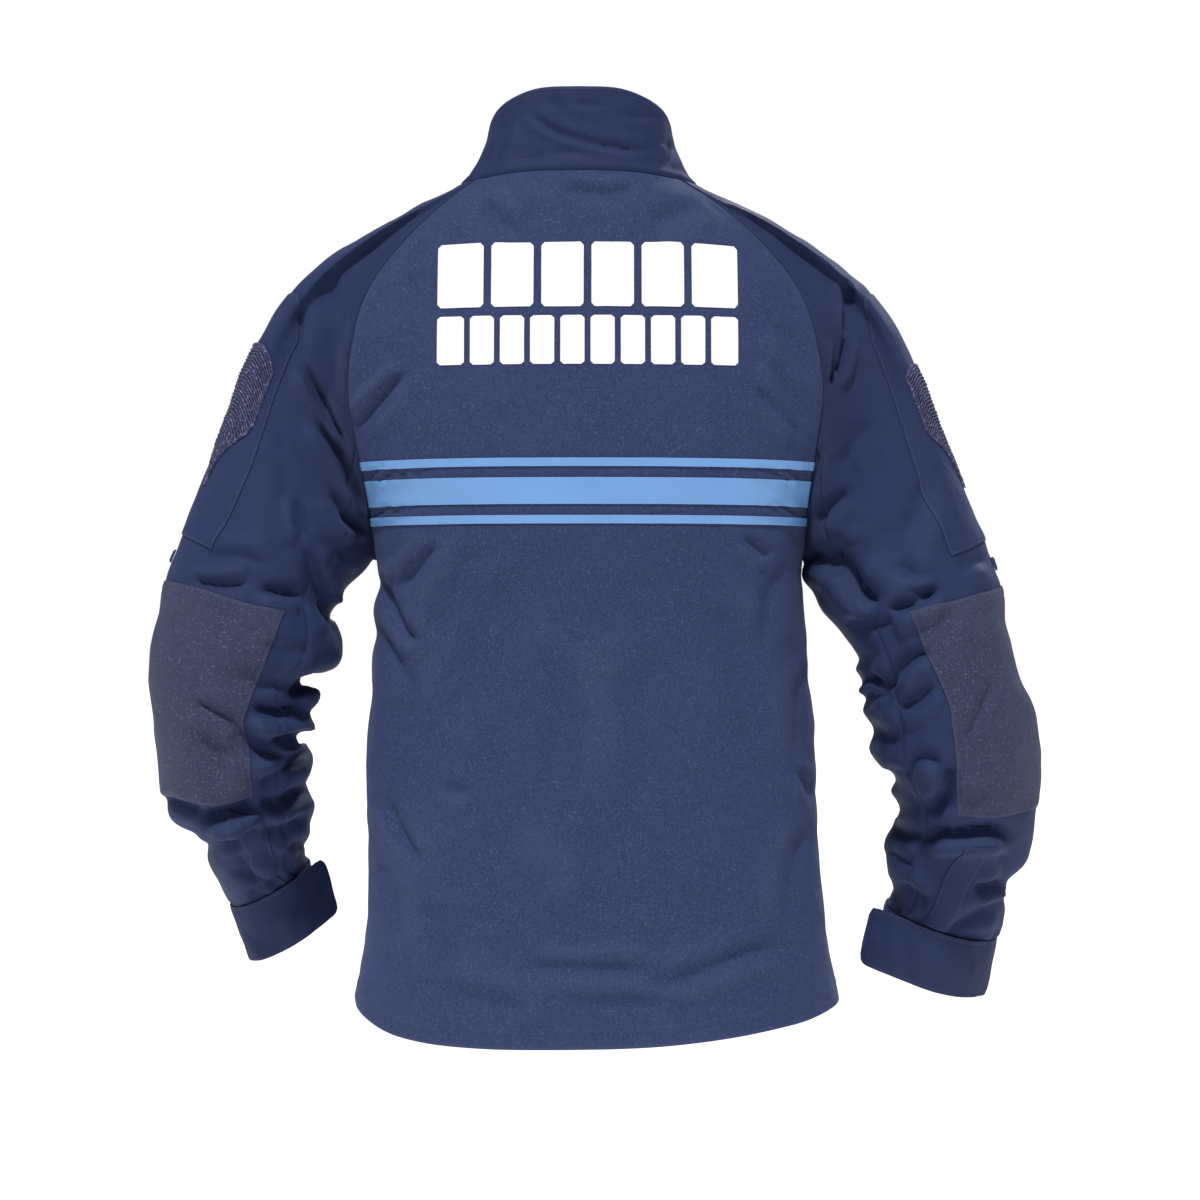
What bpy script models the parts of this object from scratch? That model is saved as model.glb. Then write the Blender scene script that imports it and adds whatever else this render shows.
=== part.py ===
"""A police duty shirt, filled out as if worn: knitted body, woven raglan sleeves, stand collar with a neck zip.

Metres, +Z up. The front faces -Y, so the wearer's left sleeve is on the +X side.
The origin is between the two neck points, where the collar seam crosses the shoulders.

The body is a stack of rings (TORSO). A point on it has a height and an angle: 0 degrees is the centre
back, 90 the wearer's left side and 180 the centre front. Each sleeve is a stack of rings too (SLEEVES):
0 degrees is its outer line, 90 its back, 180 the underarm and 270 its front. Each panel is a grid of
points of one of these two surfaces, thickened inwards, and what is sewn on a panel is made from the
panel's own points, moved out.
"""

import math

import bmesh
import bpy
import numpy as np
from mathutils import Matrix

MM = 0.001

# Cloth and seams.
KNIT = 1.5 * MM
WOVEN = 1.3 * MM
DOUBLED = 2.4 * MM  # collar and cuffs: two layers and an interlining
PATCH = 1.4 * MM
HOOK_AND_LOOP = 1.8 * MM
FILM = 0.5 * MM  # heat-pressed trims
SEAM_GAP = 0.3 * MM
LAID_ON = 0.6 * MM  # between a panel and what is sewn on it

# Resolution of the grids. A raglan seam has as many steps in the body as in the sleeve.
SLEEVE_STEP = 15  # degrees
CAP_ROWS = 6
LOW_ROWS = 7
BACK_COLUMNS = 12
FRONT_COLUMNS = 12

# Body rings, from the neck down, in millimetres.
# height, half width, depth to the back, depth to the front, shift towards the wearer's left
TORSO = np.array([
    (25, 78, 66, 50, 5),
    (0, 97, 76, 60, 6),
    (-22, 132, 87, 70, 4),
    (-57, 177, 98, 84, 2),
    (-100, 213, 108, 98, 1),
    (-145, 226, 115, 110, 0),
    (-190, 225, 118, 119, -1),
    (-235, 212, 119, 123, -2),
    (-280, 193, 117, 122, -3),
    (-325, 184, 113, 119, -4),
    (-403, 186, 106, 114, -5),
    (-440, 189, 104, 113, -6),
    (-481, 193, 103, 112, -5),
    (-560, 194, 104, 112, -7),
    (-640, 198, 107, 114, -9),
    (-700, 208, 111, 117, -10),
    (-750, 216, 114, 119, -11),
]) * MM
SQUARENESS = 2.4

# Raglan seams on the body, from the underarm up to the collar: height in millimetres, angle in degrees.
UNDERARM_Z = -325 * MM
RAGLAN = {
    "back": [(-325, 90), (-310, 84), (-280, 74), (-235, 64), (-190, 60.5), (-145, 57.5), (-100, 56),
             (-57, 55.5), (-22, 56), (-3, 57)],
    "front": [(-325, 90), (-310, 97), (-285, 107), (-245, 120), (-205, 127), (-160, 131), (-115, 134),
              (-72, 136), (-36, 137.5), (-14, 138.5)],
}
# Collar seam and hem round the body: angle in degrees, height in millimetres.
NECKLINE = [(0, 1), (30, 0), (57, -3), (90, -6), (120, -9), (138.5, -14), (152, -31), (166, -62), (180, -78)]
HEM = [(-180, -722), (-130, -718), (-104, -706), (-90, -703), (-74, -706), (-48, -715), (0, -730),
       (48, -725), (75, -709), (90, -703), (104, -709), (130, -718), (180, -722)]

# Sleeve rings from the underarm to the cuff, in millimetres and degrees.
# outer x, outer z, inner x, inner z, centre y, half depth, forward tilt
SLEEVES = {
    "left": [
        (337, -277, 199, -341, 0, 76, 0),
        (350, -309, 218, -363, 3, 75, 0),
        (360, -340, 210, -397, 8, 78, 0),
        (365, -375, 215, -417, 12, 77, 0),
        (371, -405, 241, -431, 14, 71, 2),
        (374, -430, 237, -451, 12, 73, 4),
        (370, -458, 249, -484, 9, 66, 8),
        (368, -487, 238, -501, 3, 67, 11),
        (368, -515, 245, -521, -6, 61, 13),
        (363, -534, 239, -544, -16, 60, 15),
        (334, -562, 246, -565, -27, 52, 15),
        (330, -590, 248, -584, -38, 47, 14),
        (314, -628, 246, -591, -50, 42, 12),
    ],
    "right": [
        (334, -282, 196, -349, 0, 76, 0),
        (348, -315, 205, -367, 3, 76, 0),
        (358, -348, 222, -387, 8, 77, 0),
        (364, -390, 239, -413, 12, 74, 0),
        (373, -425, 242, -438, 12, 71, 2),
        (387, -457, 247, -463, 8, 72, 6),
        (392, -492, 252, -500, 2, 68, 10),
        (392, -524, 272, -520, -6, 61, 12),
        (392, -554, 275, -550, -16, 60, 14),
        (387, -580, 264, -576, -26, 55, 15),
        (373, -604, 269, -600, -36, 52, 14),
        (370, -633, 272, -617, -46, 47, 12),
        (366, -657, 268, -629, -55, 45, 10),
    ],
}
TOP_OF_CAP = 30  # degrees each side of the outer line where a sleeve meets the collar

# Sleeve seams and what is sewn on the sleeves. Angles in degrees; a row is 0 at the raglan seam, 1 at the
# first sleeve ring, 2 at the second and so on.
BACK_SEAM, FRONT_SEAM = 135, 240
POCKET = {"rows": (0.5, 1.8), "angles": (-45, 60)}
POCKET_TAB = {"rows": (2.25, 2.6), "angles": (4, 15)}
SHIELD = {"left": {"rows": (0.6, 0.96), "middle": 24}, "right": {"rows": (0.66, 0.96), "middle": 12}}
SHIELD_HALF_ANGLE, SHIELD_TAPER_FROM = 30, 0.42
ELBOW_PATCH = {"left": {"rows": (2.9, 9), "angles": (-30, 115)},
               "right": {"rows": (2.95, 8.25), "angles": (-30, 101)}}
PLACKET = {"left": {"rows": (9.4, 12.9), "angles": (92, 118), "turn": 0},
           "right": {"rows": (9, 12.9), "angles": (74, 98), "turn": 18}}  # turn: degrees from the top to the cuff

# Cuffs: a band goes once round the wrist, past its own start, and its free end runs on straight.
CUFF_HEIGHT = 54 * MM
CUFF_WAY = {"left": (-11, -13, -43), "right": (9, -11, -50)}  # from the wrist seam to the open edge
CUFF_START = {"left": 106, "right": 98}  # degrees
CUFF_LAP = 22  # degrees
CUFF_LIFT = 4.0 * MM  # of the free end over the start
CUFF_TAB = {"left": 36 * MM, "right": 44 * MM}
CUFF_STEP = 15  # degrees
CUFF_GROW = 1.5 * MM  # how far the band lies outside the end of the sleeve

# Largest folds of the sleeves: first row and angle, last row and angle, depth and half width in millimetres.
FOLDS = {
    "left": [(1.9, 150, 2.1, 195, 6, 12), (5.3, 80, 5.0, 195, 9, 12), (7.1, 175, 8.9, 108, 7, 12)],
    "right": [(1.5, 158, 2.6, 108, 9, 14), (4.6, 150, 5.8, 100, 9, 13), (7.7, 95, 9.2, 148, 7, 12),
              (9.8, 140, 9.8, 40, 5, 11)],
}
ROW_LENGTH, DEGREE_LENGTH = 30, 1.25  # millimetres between two rows and two degrees, near the elbow

# Collar's top edge: angle in degrees, height in millimetres.
COLLAR_TOP = [(0, 73), (25, 72), (45, 66), (70, 56), (90, 45), (120, 25), (150, 7), (180, -3)]
COLLAR_PLAN = {"half_width": 79 * MM, "back": 64 * MM, "front": 80 * MM, "back_shift": 5 * MM,
               "front_shift": 2 * MM, "squareness": 2.2}
COLLAR_ROWS = 3
COLLAR_COLUMNS = 32

# Trims across the back: heights of their edges at the centre back, and their reach in degrees.
BANDS = {"back_band_top": (-250, -243), "back_band_middle": (-281, -259), "back_band_bottom": (-297, -290)}
BLOCKS = {"reflective_upper": (-118, -62), "reflective_lower": (-166, -125)}
BLOCK_HALF_ANGLE = 33

# Neck zip.
SLIT = 5.5 * MM  # half width
CHAIN = 3.0 * MM  # half width
CHAIN_THICK = 2.4 * MM
TAPE_WIDTH = 13 * MM
TAPE_THICK = 1.0 * MM
ZIP_BOTTOM = -232 * MM
ZIP_TOP_BELOW_EDGE = 5 * MM
SLIDER = {"width": 9 * MM, "length": 13 * MM, "plate": 1.3 * MM, "post": 3 * MM}
BRIDGE = {"width": 2.2 * MM, "from": 2.0 * MM, "to": 10.0 * MM, "leg": 1.4 * MM, "rise": 3.4 * MM, "bar": 1.0 * MM}
PULL = {"width": 7 * MM, "length": 32 * MM, "thick": 1.2 * MM, "bar": 1.4 * MM, "window": 3.4 * MM, "reach": 6.3 * MM}


# ---------------------------------------------------------------- numbers and curves

def through(keys, values, at):
    """A smooth curve through a table's values, at any keys between the first and the last."""
    keys, values = np.asarray(keys, float), np.asarray(values, float)
    if keys[0] > keys[-1]:
        keys, values = keys[::-1], values[::-1]
    slopes = np.gradient(values, keys, axis=0)
    at = np.clip(at, keys[0], keys[-1])
    i = np.clip(np.searchsorted(keys, at) - 1, 0, len(keys) - 2)
    step = keys[i + 1] - keys[i]
    t = (at - keys[i]) / step
    return ((1 + 2 * t) * (1 - t) ** 2 * values[i] + t * (1 - t) ** 2 * step * slopes[i]
            + t * t * (3 - 2 * t) * values[i + 1] + t * t * (t - 1) * step * slopes[i + 1])


def smoothstep(t):
    t = np.clip(t, 0, 1)
    return t * t * (3 - 2 * t)


def unit(v):
    return v / np.maximum(np.linalg.norm(v, axis=-1, keepdims=True), 1e-12)


def points_of(x, y, z):
    return np.stack(np.broadcast_arrays(x, y, z), axis=-1)


# ---------------------------------------------------------------- the body's surface

def torso(z, angle):
    """Points of the body's surface at heights z and angles in degrees."""
    turn = np.radians(angle)
    half, back, front, shift = (through(TORSO[:, 0], TORSO[:, k], z) for k in (1, 2, 3, 4))
    s, c = np.sin(turn), np.cos(turn)
    power = 2 / SQUARENESS
    depth = np.where(c >= 0, back, front)
    x = shift + half * np.sign(s) * np.abs(s) ** power
    y = depth * np.sign(c) * np.abs(c) ** power
    return points_of(x, y, z)


def torso_normal(z, angle):
    """Directions straight out of the body's surface."""
    around = torso(z, angle + 0.5) - torso(z, angle - 0.5)
    up = torso(z + MM, angle) - torso(z - MM, angle)
    return unit(np.cross(up, around))


def raglan(face, share):
    """Height and angle at shares of a raglan seam's length, from 0 at the underarm to 1 at the collar."""
    heights, angles = np.array(RAGLAN[face], float).T
    z = np.linspace(heights[0], heights[-1], 300) * MM
    angle = through(heights * MM, angles, z)
    along = np.concatenate([[0], np.cumsum(np.linalg.norm(np.diff(torso(z, angle), axis=0), axis=1))])
    return np.interp(share, along / along[-1], z), np.interp(share, along / along[-1], angle)


def neckline_height(angle):
    angles, heights = np.array(NECKLINE, float).T
    return through(angles, heights * MM, np.abs((angle + 180) % 360 - 180))


def hem_height(angle):
    angles, heights = np.array(HEM, float).T
    return through(angles, heights * MM, (angle + 180) % 360 - 180)


def body_grid(face, spread):
    """Heights and angles of the back's or front's grid, from the hem up. spread is the columns, from -1 to 1."""
    rows_up = (180 - TOP_OF_CAP) // SLEEVE_STEP
    low = np.linspace(0, 1, LOW_ROWS + 1)[:-1]
    seam_z, seam_angle = raglan(face, np.linspace(0, 1, rows_up + 1))
    middle = 0 if face == "back" else 180
    heights, angles = [], []
    for share in low:
        angle = middle + 90 * spread
        side = hem_height(np.sign(spread) * 90)
        z = side + (UNDERARM_Z - side) * share + (1 - share) * (hem_height(angle) - side)
        heights.append(z)
        angles.append(angle)
    for share, z_side, reach in zip(np.linspace(0, 1, rows_up + 1), seam_z, np.abs(seam_angle - middle)):
        angle = middle + reach * spread
        dip = neckline_height(angle) - neckline_height(middle + reach)
        heights.append(z_side + smoothstep(share) * dip)
        angles.append(angle)
    return np.array(heights), np.array(angles)


# ---------------------------------------------------------------- a sleeve's surface

def sleeve_rings(side, angle, row):
    """Points of the sleeve below the armhole. row is 1 at the first line of the table."""
    table = np.array(SLEEVES[side], float)
    ox, oz, ix, iz, cy, depth, tilt = (through(np.arange(len(table)) + 1.0, table[:, k], row) for k in range(7))
    outer, inner = points_of(ox, cy, oz) * MM, points_of(ix, cy, iz) * MM
    across = (outer - inner) / 2
    tilt = np.radians(tilt)
    back = points_of(0 * tilt, np.cos(tilt), -np.sin(tilt))
    way = unit(across)
    back = unit(back - (back * way).sum(-1, keepdims=True) * way)
    turn = np.radians(angle)[..., None]
    return (outer + inner) / 2 + across * np.cos(turn) + back * np.sin(turn) * (depth * MM)[..., None]


def armhole(side, angle):
    """Points of the sleeve's upper edge, on the raglan seams and the neckline, and the body's normals there."""
    angle = np.asarray(angle, float) % 360
    front = angle > 180
    from_top = np.where(front, 360 - angle, angle)
    share = np.clip((180 - from_top) / (180 - TOP_OF_CAP), 0, 1)
    back_z, back_angle = raglan("back", share)
    front_z, front_angle = raglan("front", share)
    seam_z, seam_angle = np.where(front, front_z, back_z), np.where(front, front_angle, back_angle)
    edge_angle = np.where(front, RAGLAN["front"][-1][1], RAGLAN["back"][-1][1])
    crown = 90 + (edge_angle - 90) * from_top / TOP_OF_CAP
    on_neck = from_top < TOP_OF_CAP
    body_angle = np.where(on_neck, crown, seam_angle)
    z = np.where(on_neck, neckline_height(crown), seam_z)
    if side == "right":
        body_angle = -body_angle
    return torso(z, body_angle), torso_normal(z, body_angle)


def sleeve(side, angle, row):
    """Points of a whole sleeve. row runs from 0 at the armhole, through 1, to the last ring."""
    angle, row = np.broadcast_arrays(np.asarray(angle, float), np.asarray(row, float))
    mirror = np.array([1 if side == "left" else -1, 1, 1])
    below = sleeve_rings(side, angle, np.maximum(row, 1)) * mirror
    start, normal = armhole(side, angle)
    end = sleeve_rings(side, angle, np.ones_like(row)) * mirror
    leave = unit(sleeve_rings(side, angle, np.full(row.shape, 1.05)) * mirror - end)
    chord = end - start
    length = np.linalg.norm(chord, axis=-1, keepdims=True)
    down = ((1 - np.cos(np.radians(angle))) / 2)[..., None]
    follow = 1 - 0.75 * smoothstep((down - 0.35) / 0.5)
    set_off = unit(chord - follow * (chord * normal).sum(-1, keepdims=True) * normal)
    along = armhole(side, angle + 1)[0] - armhole(side, angle - 1)[0]
    away = unit(np.cross(along, normal)) * mirror[0]
    behind = angle % 360
    turned = 0.6 * smoothstep((behind - 32) / 22) * smoothstep((135 - behind) / 40)
    crown = (0.19 if side == "left" else 0.16) * smoothstep((75 - np.minimum(behind, 360 - behind)) / 50)
    set_off = unit(set_off + turned[..., None] * away + crown[..., None] * np.array([0, 0, 1]))
    reach = (0.57 - 0.21 * down) * length
    arrive = (0.47 - 0.11 * down) * length
    t = np.clip(row, 0, 1)[..., None]
    cap = ((1 - t) ** 3 * start + 3 * t * (1 - t) ** 2 * (start + reach * set_off)
           + 3 * t * t * (1 - t) * (end - arrive * leave) + t ** 3 * end)
    return np.where((row < 1)[..., None], cap, below)


def grid_normals(points, closed=False):
    """Outward directions of a grid whose rows run down and whose columns run round."""
    if closed:
        around = np.roll(points, -1, axis=1) - np.roll(points, 1, axis=1)
    else:
        around = np.gradient(points, axis=1)
    return unit(np.cross(np.gradient(points, axis=0), around))


# ---------------------------------------------------------------- meshes

for old in list(bpy.data.objects):
    bpy.data.objects.remove(old)
PARTS, HELPERS = bpy.data.collections.new("duty_shirt"), bpy.data.collections.new("helpers")
for collection in (PARTS, HELPERS):
    bpy.context.scene.collection.children.link(collection)


def new_object(name, mesh, colour, roughness, metallic=0.0):
    made = bpy.data.objects.new(name, mesh)
    PARTS.objects.link(made)
    finish = bpy.data.materials.new(name)
    finish.use_nodes = True
    shader = finish.node_tree.nodes["Principled BSDF"]
    shader.inputs["Base Color"].default_value = (*colour, 1)
    shader.inputs["Roughness"].default_value = roughness
    shader.inputs["Metallic"].default_value = metallic
    mesh.materials.append(finish)
    return made


def inset(points):
    """The grid with its outer rows and columns drawn in by half a seam gap."""
    points = points.copy()
    for axis in (0, 1):
        grid = np.swapaxes(points, 0, axis)
        for edge, beside in ((0, 1), (-1, -2)):
            grid[edge] += unit(grid[beside] - grid[edge]) * SEAM_GAP / 2
    return points


def shell(name, outer, inner, finish, skip=()):
    """A closed wall between two grids of points. skip holds the (row, column) cells that are left open."""
    rows, columns = outer.shape[:2]
    cells = [(i, j) for i in range(rows - 1) for j in range(columns - 1) if (i, j) not in skip]
    mesh = bmesh.new()
    made = {}

    def vertex(layer, i, j):
        if (layer, i, j) not in made:
            made[layer, i, j] = mesh.verts.new((outer, inner)[layer][i, j])
        return made[layer, i, j]

    for i, j in cells:
        for half in ([(i, j), (i + 1, j), (i + 1, j + 1)], [(i, j), (i + 1, j + 1), (i, j + 1)]):
            mesh.faces.new([vertex(0, *c) for c in half])
            mesh.faces.new([vertex(1, *c) for c in reversed(half)])
    for edge in [e for e in mesh.edges if len(e.link_faces) == 1]:
        other = {v: k for k, v in made.items()}
        (layer, i, j), (_, k, m) = other[edge.verts[0]], other[edge.verts[1]]
        if layer == 0:
            mesh.faces.new([vertex(0, i, j), vertex(0, k, m), vertex(1, k, m), vertex(1, i, j)])
    bmesh.ops.recalc_face_normals(mesh, faces=mesh.faces)
    data = bpy.data.meshes.new(name)
    mesh.to_mesh(data)
    mesh.free()
    return new_object(name, data, *finish)


def panel(name, points, normals, thick, finish, skip=()):
    """A cloth panel: its outer face is the grid, and its thickness lies inside."""
    outer = inset(points)
    shell(name, outer, outer - normals * thick, finish, skip)


def on_grid(grid, rows, columns):
    """Points at fractional rows and columns of a grid, on the two flat halves of its cells."""
    rows, columns = np.broadcast_arrays(np.asarray(rows, float), np.asarray(columns, float))
    i = np.clip(np.floor(rows).astype(int), 0, grid.shape[0] - 2)
    j = np.clip(np.floor(columns).astype(int), 0, grid.shape[1] - 2)
    u, v = (rows - i)[..., None], (columns - j)[..., None]
    near, far = grid[i, j], grid[i + 1, j + 1]
    lower = near * (1 - u) + grid[i + 1, j] * (u - v) + far * v
    upper = near * (1 - v) + grid[i, j + 1] * (v - u) + far * u
    return np.where(u >= v, lower, upper)


def stops(start, end, parts=1):
    """start, the whole numbers between and end, with each step cut in equal parts."""
    inner = [n for n in range(math.ceil(start), math.floor(end) + 1) if start + 0.15 < n < end - 0.15]
    ends = [start, *inner, end]
    return np.array([a + (b - a) * k / parts for a, b in zip(ends, ends[1:]) for k in range(parts)] + [end])


def laid_on(name, points, normals, thick, finish, lift=LAID_ON):
    """A piece on top of a panel: the panel's own points moved out."""
    under = points + normals * lift
    shell(name, under + normals * thick, under, finish)


# ---------------------------------------------------------------- finishes: colour, roughness, metallic

NAVY_KNIT = ((0.042, 0.055, 0.130), 0.9)
NAVY_WOVEN = ((0.024, 0.037, 0.098), 0.8)
NAVY_COARSE = ((0.050, 0.063, 0.140), 0.85)
NAVY_LOOP = ((0.030, 0.033, 0.095), 0.95)
SKY_BLUE = ((0.105, 0.300, 0.690), 0.5)
WHITE_FILM = ((0.85, 0.86, 0.87), 0.4)
DARK_ZIP = ((0.012, 0.016, 0.040), 0.5)
DARK_METAL = ((0.050, 0.052, 0.060), 0.35, 0.9)


# ---------------------------------------------------------------- the body's pieces

def make_back():
    spread = np.linspace(-1, 1, BACK_COLUMNS + 1)
    z, angle = body_grid("back", spread)
    points, normals = torso(z, angle), torso_normal(z, angle)
    panel("back", points, normals, KNIT, NAVY_KNIT)
    rows = np.arange(len(z))
    centre = BACK_COLUMNS // 2
    row_at = lambda height: float(np.interp(height * MM, z[:, centre], rows))
    for name, (bottom, top) in BANDS.items():
        at = np.meshgrid(stops(row_at(bottom), row_at(top)), stops(0.12, BACK_COLUMNS - 0.12, 2), indexing="ij")
        laid_on(name, on_grid(points, *at), on_grid(normals, *at), FILM, SKY_BLUE, 1.25 * LAID_ON)
    for name, (bottom, top) in BLOCKS.items():
        reach = BLOCK_HALF_ANGLE / angle[rows_near(z[:, centre], (bottom + top) / 2 * MM), -1]
        columns = stops(centre * (1 - reach), centre * (1 + reach))
        at = np.meshgrid(stops(row_at(bottom), row_at(top)), columns, indexing="ij")
        laid_on(name, on_grid(points, *at), on_grid(normals, *at), FILM, WHITE_FILM)


def rows_near(values, wanted):
    return int(np.abs(values - wanted).argmin())


def slit_spread():
    """Columns of the front. The two in the middle are the edges of the zip's slit."""
    half = np.linspace(0, 1, FRONT_COLUMNS // 2 + 1)
    return np.concatenate([-half[::-1], half])


def make_front():
    spread = slit_spread()
    middle = len(spread) // 2
    z, angle = body_grid("front", spread)
    points = torso(z, angle)
    for column, way in ((middle - 1, 1), (middle, -1)):
        points[:, column, 0] += way * SLIT
    bottom_row = rows_near(z[:, middle], ZIP_BOTTOM)
    panel("front", points, grid_normals(points), KNIT, NAVY_KNIT,
          skip={(i, middle - 1) for i in range(bottom_row, len(z) - 1)})
    return z[bottom_row, middle]


# ---------------------------------------------------------------- collar and zip

def collar(share, angle):
    """Points of the collar, at shares of its height from the seam up."""
    angle = np.asarray(angle, float)
    turn = np.radians(angle)
    base = torso(neckline_height(angle), angle)
    angles, heights = np.array(COLLAR_TOP, float).T
    s, c = np.sin(turn), np.cos(turn)
    power = 2 / COLLAR_PLAN["squareness"]
    depth = np.where(c >= 0, COLLAR_PLAN["back"], COLLAR_PLAN["front"])
    shift = (COLLAR_PLAN["back_shift"] * (1 + c) + COLLAR_PLAN["front_shift"] * (1 - c)) / 2
    top = points_of(shift + COLLAR_PLAN["half_width"] * np.sign(s) * np.abs(s) ** power,
                    depth * np.sign(c) * np.abs(c) ** power,
                    through(angles, heights * MM, np.abs((angle + 180) % 360 - 180)))
    flare = 1 + 0.8 * smoothstep((145 - np.abs(angle)) / 60)
    inward = (1 - (1 - share) ** flare)[..., None]
    mixed = base + (top - base) * inward
    mixed[..., 2] = base[..., 2] + (top[..., 2] - base[..., 2]) * share
    return mixed


def make_collar():
    angle = np.linspace(-180, 180, COLLAR_COLUMNS + 1)
    share = np.linspace(0.02, 1, COLLAR_ROWS + 1)
    points = collar(*np.meshgrid(share, angle, indexing="ij"))
    points[:, 0, 0] -= SLIT
    points[:, -1, 0] += SLIT
    panel("collar", points, grid_normals(points), DOUBLED, NAVY_WOVEN)


def front_line(low, high, count):
    """Points up the centre front from height low to height high, and the outward directions there."""
    seam = neckline_height(180.0)
    body = torso(np.linspace(ZIP_BOTTOM - 30 * MM, seam, 40)[:-1], 180.0)
    neck = collar(np.linspace(0, 1, 20), np.full(20, 180.0))
    line = np.concatenate([body, neck])
    z = np.linspace(low, high, count)
    at = points_of(*(np.interp(z, line[:, 2], line[:, k]) for k in (0, 1)), z)
    along = unit(np.gradient(at, axis=0))
    return at, points_of(0 * z, -along[:, 2], along[:, 1]), along


def ribbon(name, at, outward, across, near, far, finish):
    """A strip along a line: its points across, and its faces at two distances from the line."""
    rows = at[:, None] + points_of(np.array(across), 0, 0)[None]
    shell(name, rows + outward[:, None] * np.asarray(near)[..., None],
          rows + outward[:, None] * np.asarray(far)[..., None], finish)


def block(name, low, high, frame, finish=None):
    """A box between two corners in a frame's own axes, with its origin at the frame's. Without a finish it's a helper."""
    mesh = bmesh.new()
    bmesh.ops.create_cube(mesh, size=1)
    low, high = np.array(low), np.array(high)
    for v in mesh.verts:
        v.co = low + (np.array(v.co) + 0.5) * (high - low)
    data = bpy.data.meshes.new(name)
    mesh.to_mesh(data)
    mesh.free()
    if finish:
        made = new_object(name, data, *finish)
    else:
        made = bpy.data.objects.new(name, data)
        HELPERS.objects.link(made)
        made.hide_render = True
        made.display_type = "WIRE"
    made.matrix_world = frame
    return made


def combine(target, others, operation):
    for other in others:
        step = target.modifiers.new(other.name, "BOOLEAN")
        step.operation = operation
        step.object = other


def make_zip(slit_bottom):
    seat = DOUBLED + LAID_ON + TAPE_THICK / 2  # depth of the tapes' middle below the panels' faces
    collar_top = COLLAR_TOP[-1][1] * MM
    at, outward, along = front_line(slit_bottom - 8 * MM, collar_top - 1 * MM, 13)
    for side, way in (("left", 1), ("right", -1)):
        across = np.array([CHAIN + 0.4 * MM, SLIT + 1 * MM, CHAIN + TAPE_WIDTH])
        sink = 1.1 * MM * (across / across[-1]) ** 2
        ribbon(f"zip_tape_{side}", at, outward, way * across, -seat + TAPE_THICK / 2 - sink,
               -seat - TAPE_THICK / 2 - sink, DARK_ZIP)
    half = SLIDER["length"] / 2
    middle = collar_top - ZIP_TOP_BELOW_EDGE - half
    at, outward, along = front_line(slit_bottom + 1 * MM, middle + half - SLIDER["post"] - 0.6 * MM, 13)
    chain = CHAIN_THICK / 2
    ribbon("zip_chain", at, outward, np.array([-CHAIN, CHAIN]), np.full(2, chain - seat), np.full(2, -chain - seat),
           DARK_METAL)

    at, outward, along = front_line(middle - 2 * MM, middle + 2 * MM, 3)
    origin, out, up = at[1] - outward[1] * seat, outward[1], along[1]
    axes = Matrix(np.stack([np.cross(up, out), up, out], axis=1).tolist()).to_4x4()
    inner = chain + 0.4 * MM
    face = inner + SLIDER["plate"]
    reach = (BRIDGE["to"] - BRIDGE["from"]) / 2
    rise = face + BRIDGE["rise"]
    wide, post, bridge, leg, sunk = SLIDER["width"] / 2, SLIDER["post"] / 2, BRIDGE["width"] / 2, BRIDGE["leg"], 0.3 * MM
    seated = Matrix.Translation(origin) @ axes
    slider = block("zip_slider", (-wide, -half, inner), (wide, half, face), seated, DARK_METAL)
    pieces = {
        "rear plate": ((-wide, -half, -face), (wide, half, -inner)),
        "post": ((-post, reach, -inner - sunk), (post, half - sunk, inner + sunk)),
        "lower leg": ((-bridge, -reach, face - sunk), (bridge, leg - reach, rise)),
        "upper leg": ((-bridge, reach - leg, face - sunk), (bridge, reach, rise)),
        "bar": ((-bridge, sunk - reach, rise - BRIDGE["bar"]), (bridge, reach - sunk, rise - 0.05 * MM)),
    }
    combine(slider, [block(name, low, high, seated) for name, (low, high) in pieces.items()], "UNION")

    pivot = origin + out * (face + (BRIDGE["rise"] - BRIDGE["bar"]) / 2)
    hung = Matrix.Translation(pivot) @ axes
    bar, thick, window = PULL["bar"] / 2, PULL["thick"] / 2, PULL["window"] / 2
    pull = block("zip_pull", (-PULL["width"] / 2, -PULL["length"], -thick), (PULL["width"] / 2, bar, thick), hung,
                 DARK_METAL)
    combine(pull, [block("window", (-window, -PULL["reach"], -PULL["width"]), (window, -bar, PULL["width"]), hung)],
            "DIFFERENCE")


# ---------------------------------------------------------------- the sleeves' pieces

def pressed_in(side, angle, row):
    """Depth of the largest folds of a sleeve."""
    depth = np.zeros(np.broadcast(angle, row).shape)
    x, y = angle * DEGREE_LENGTH, row * ROW_LENGTH
    for row_a, angle_a, row_b, angle_b, deep, half in FOLDS[side]:
        a = np.array([angle_a * DEGREE_LENGTH, row_a * ROW_LENGTH])
        way = np.array([angle_b * DEGREE_LENGTH, row_b * ROW_LENGTH]) - a
        share = np.clip(((x - a[0]) * way[0] + (y - a[1]) * way[1]) / (way @ way), 0, 1)
        off = np.hypot(x - a[0] - share * way[0], y - a[1] - share * way[1])
        depth += deep * np.exp(-(off / half) ** 2) * (0.55 + 0.45 * np.sin(np.pi * share))
    return depth * MM


def sleeve_rows(side):
    """Rows of a sleeve's grid: close together where it bends."""
    last = len(SLEEVES[side])
    return np.concatenate([np.linspace(0, 1, CAP_ROWS + 1)[:-1], [1, 2, 3, 4, 4.5, 5, 5.5, 6, 6.5, 7, 8, 8.5, 9, 9.5],
                           np.arange(10, last + 1)])


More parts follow.
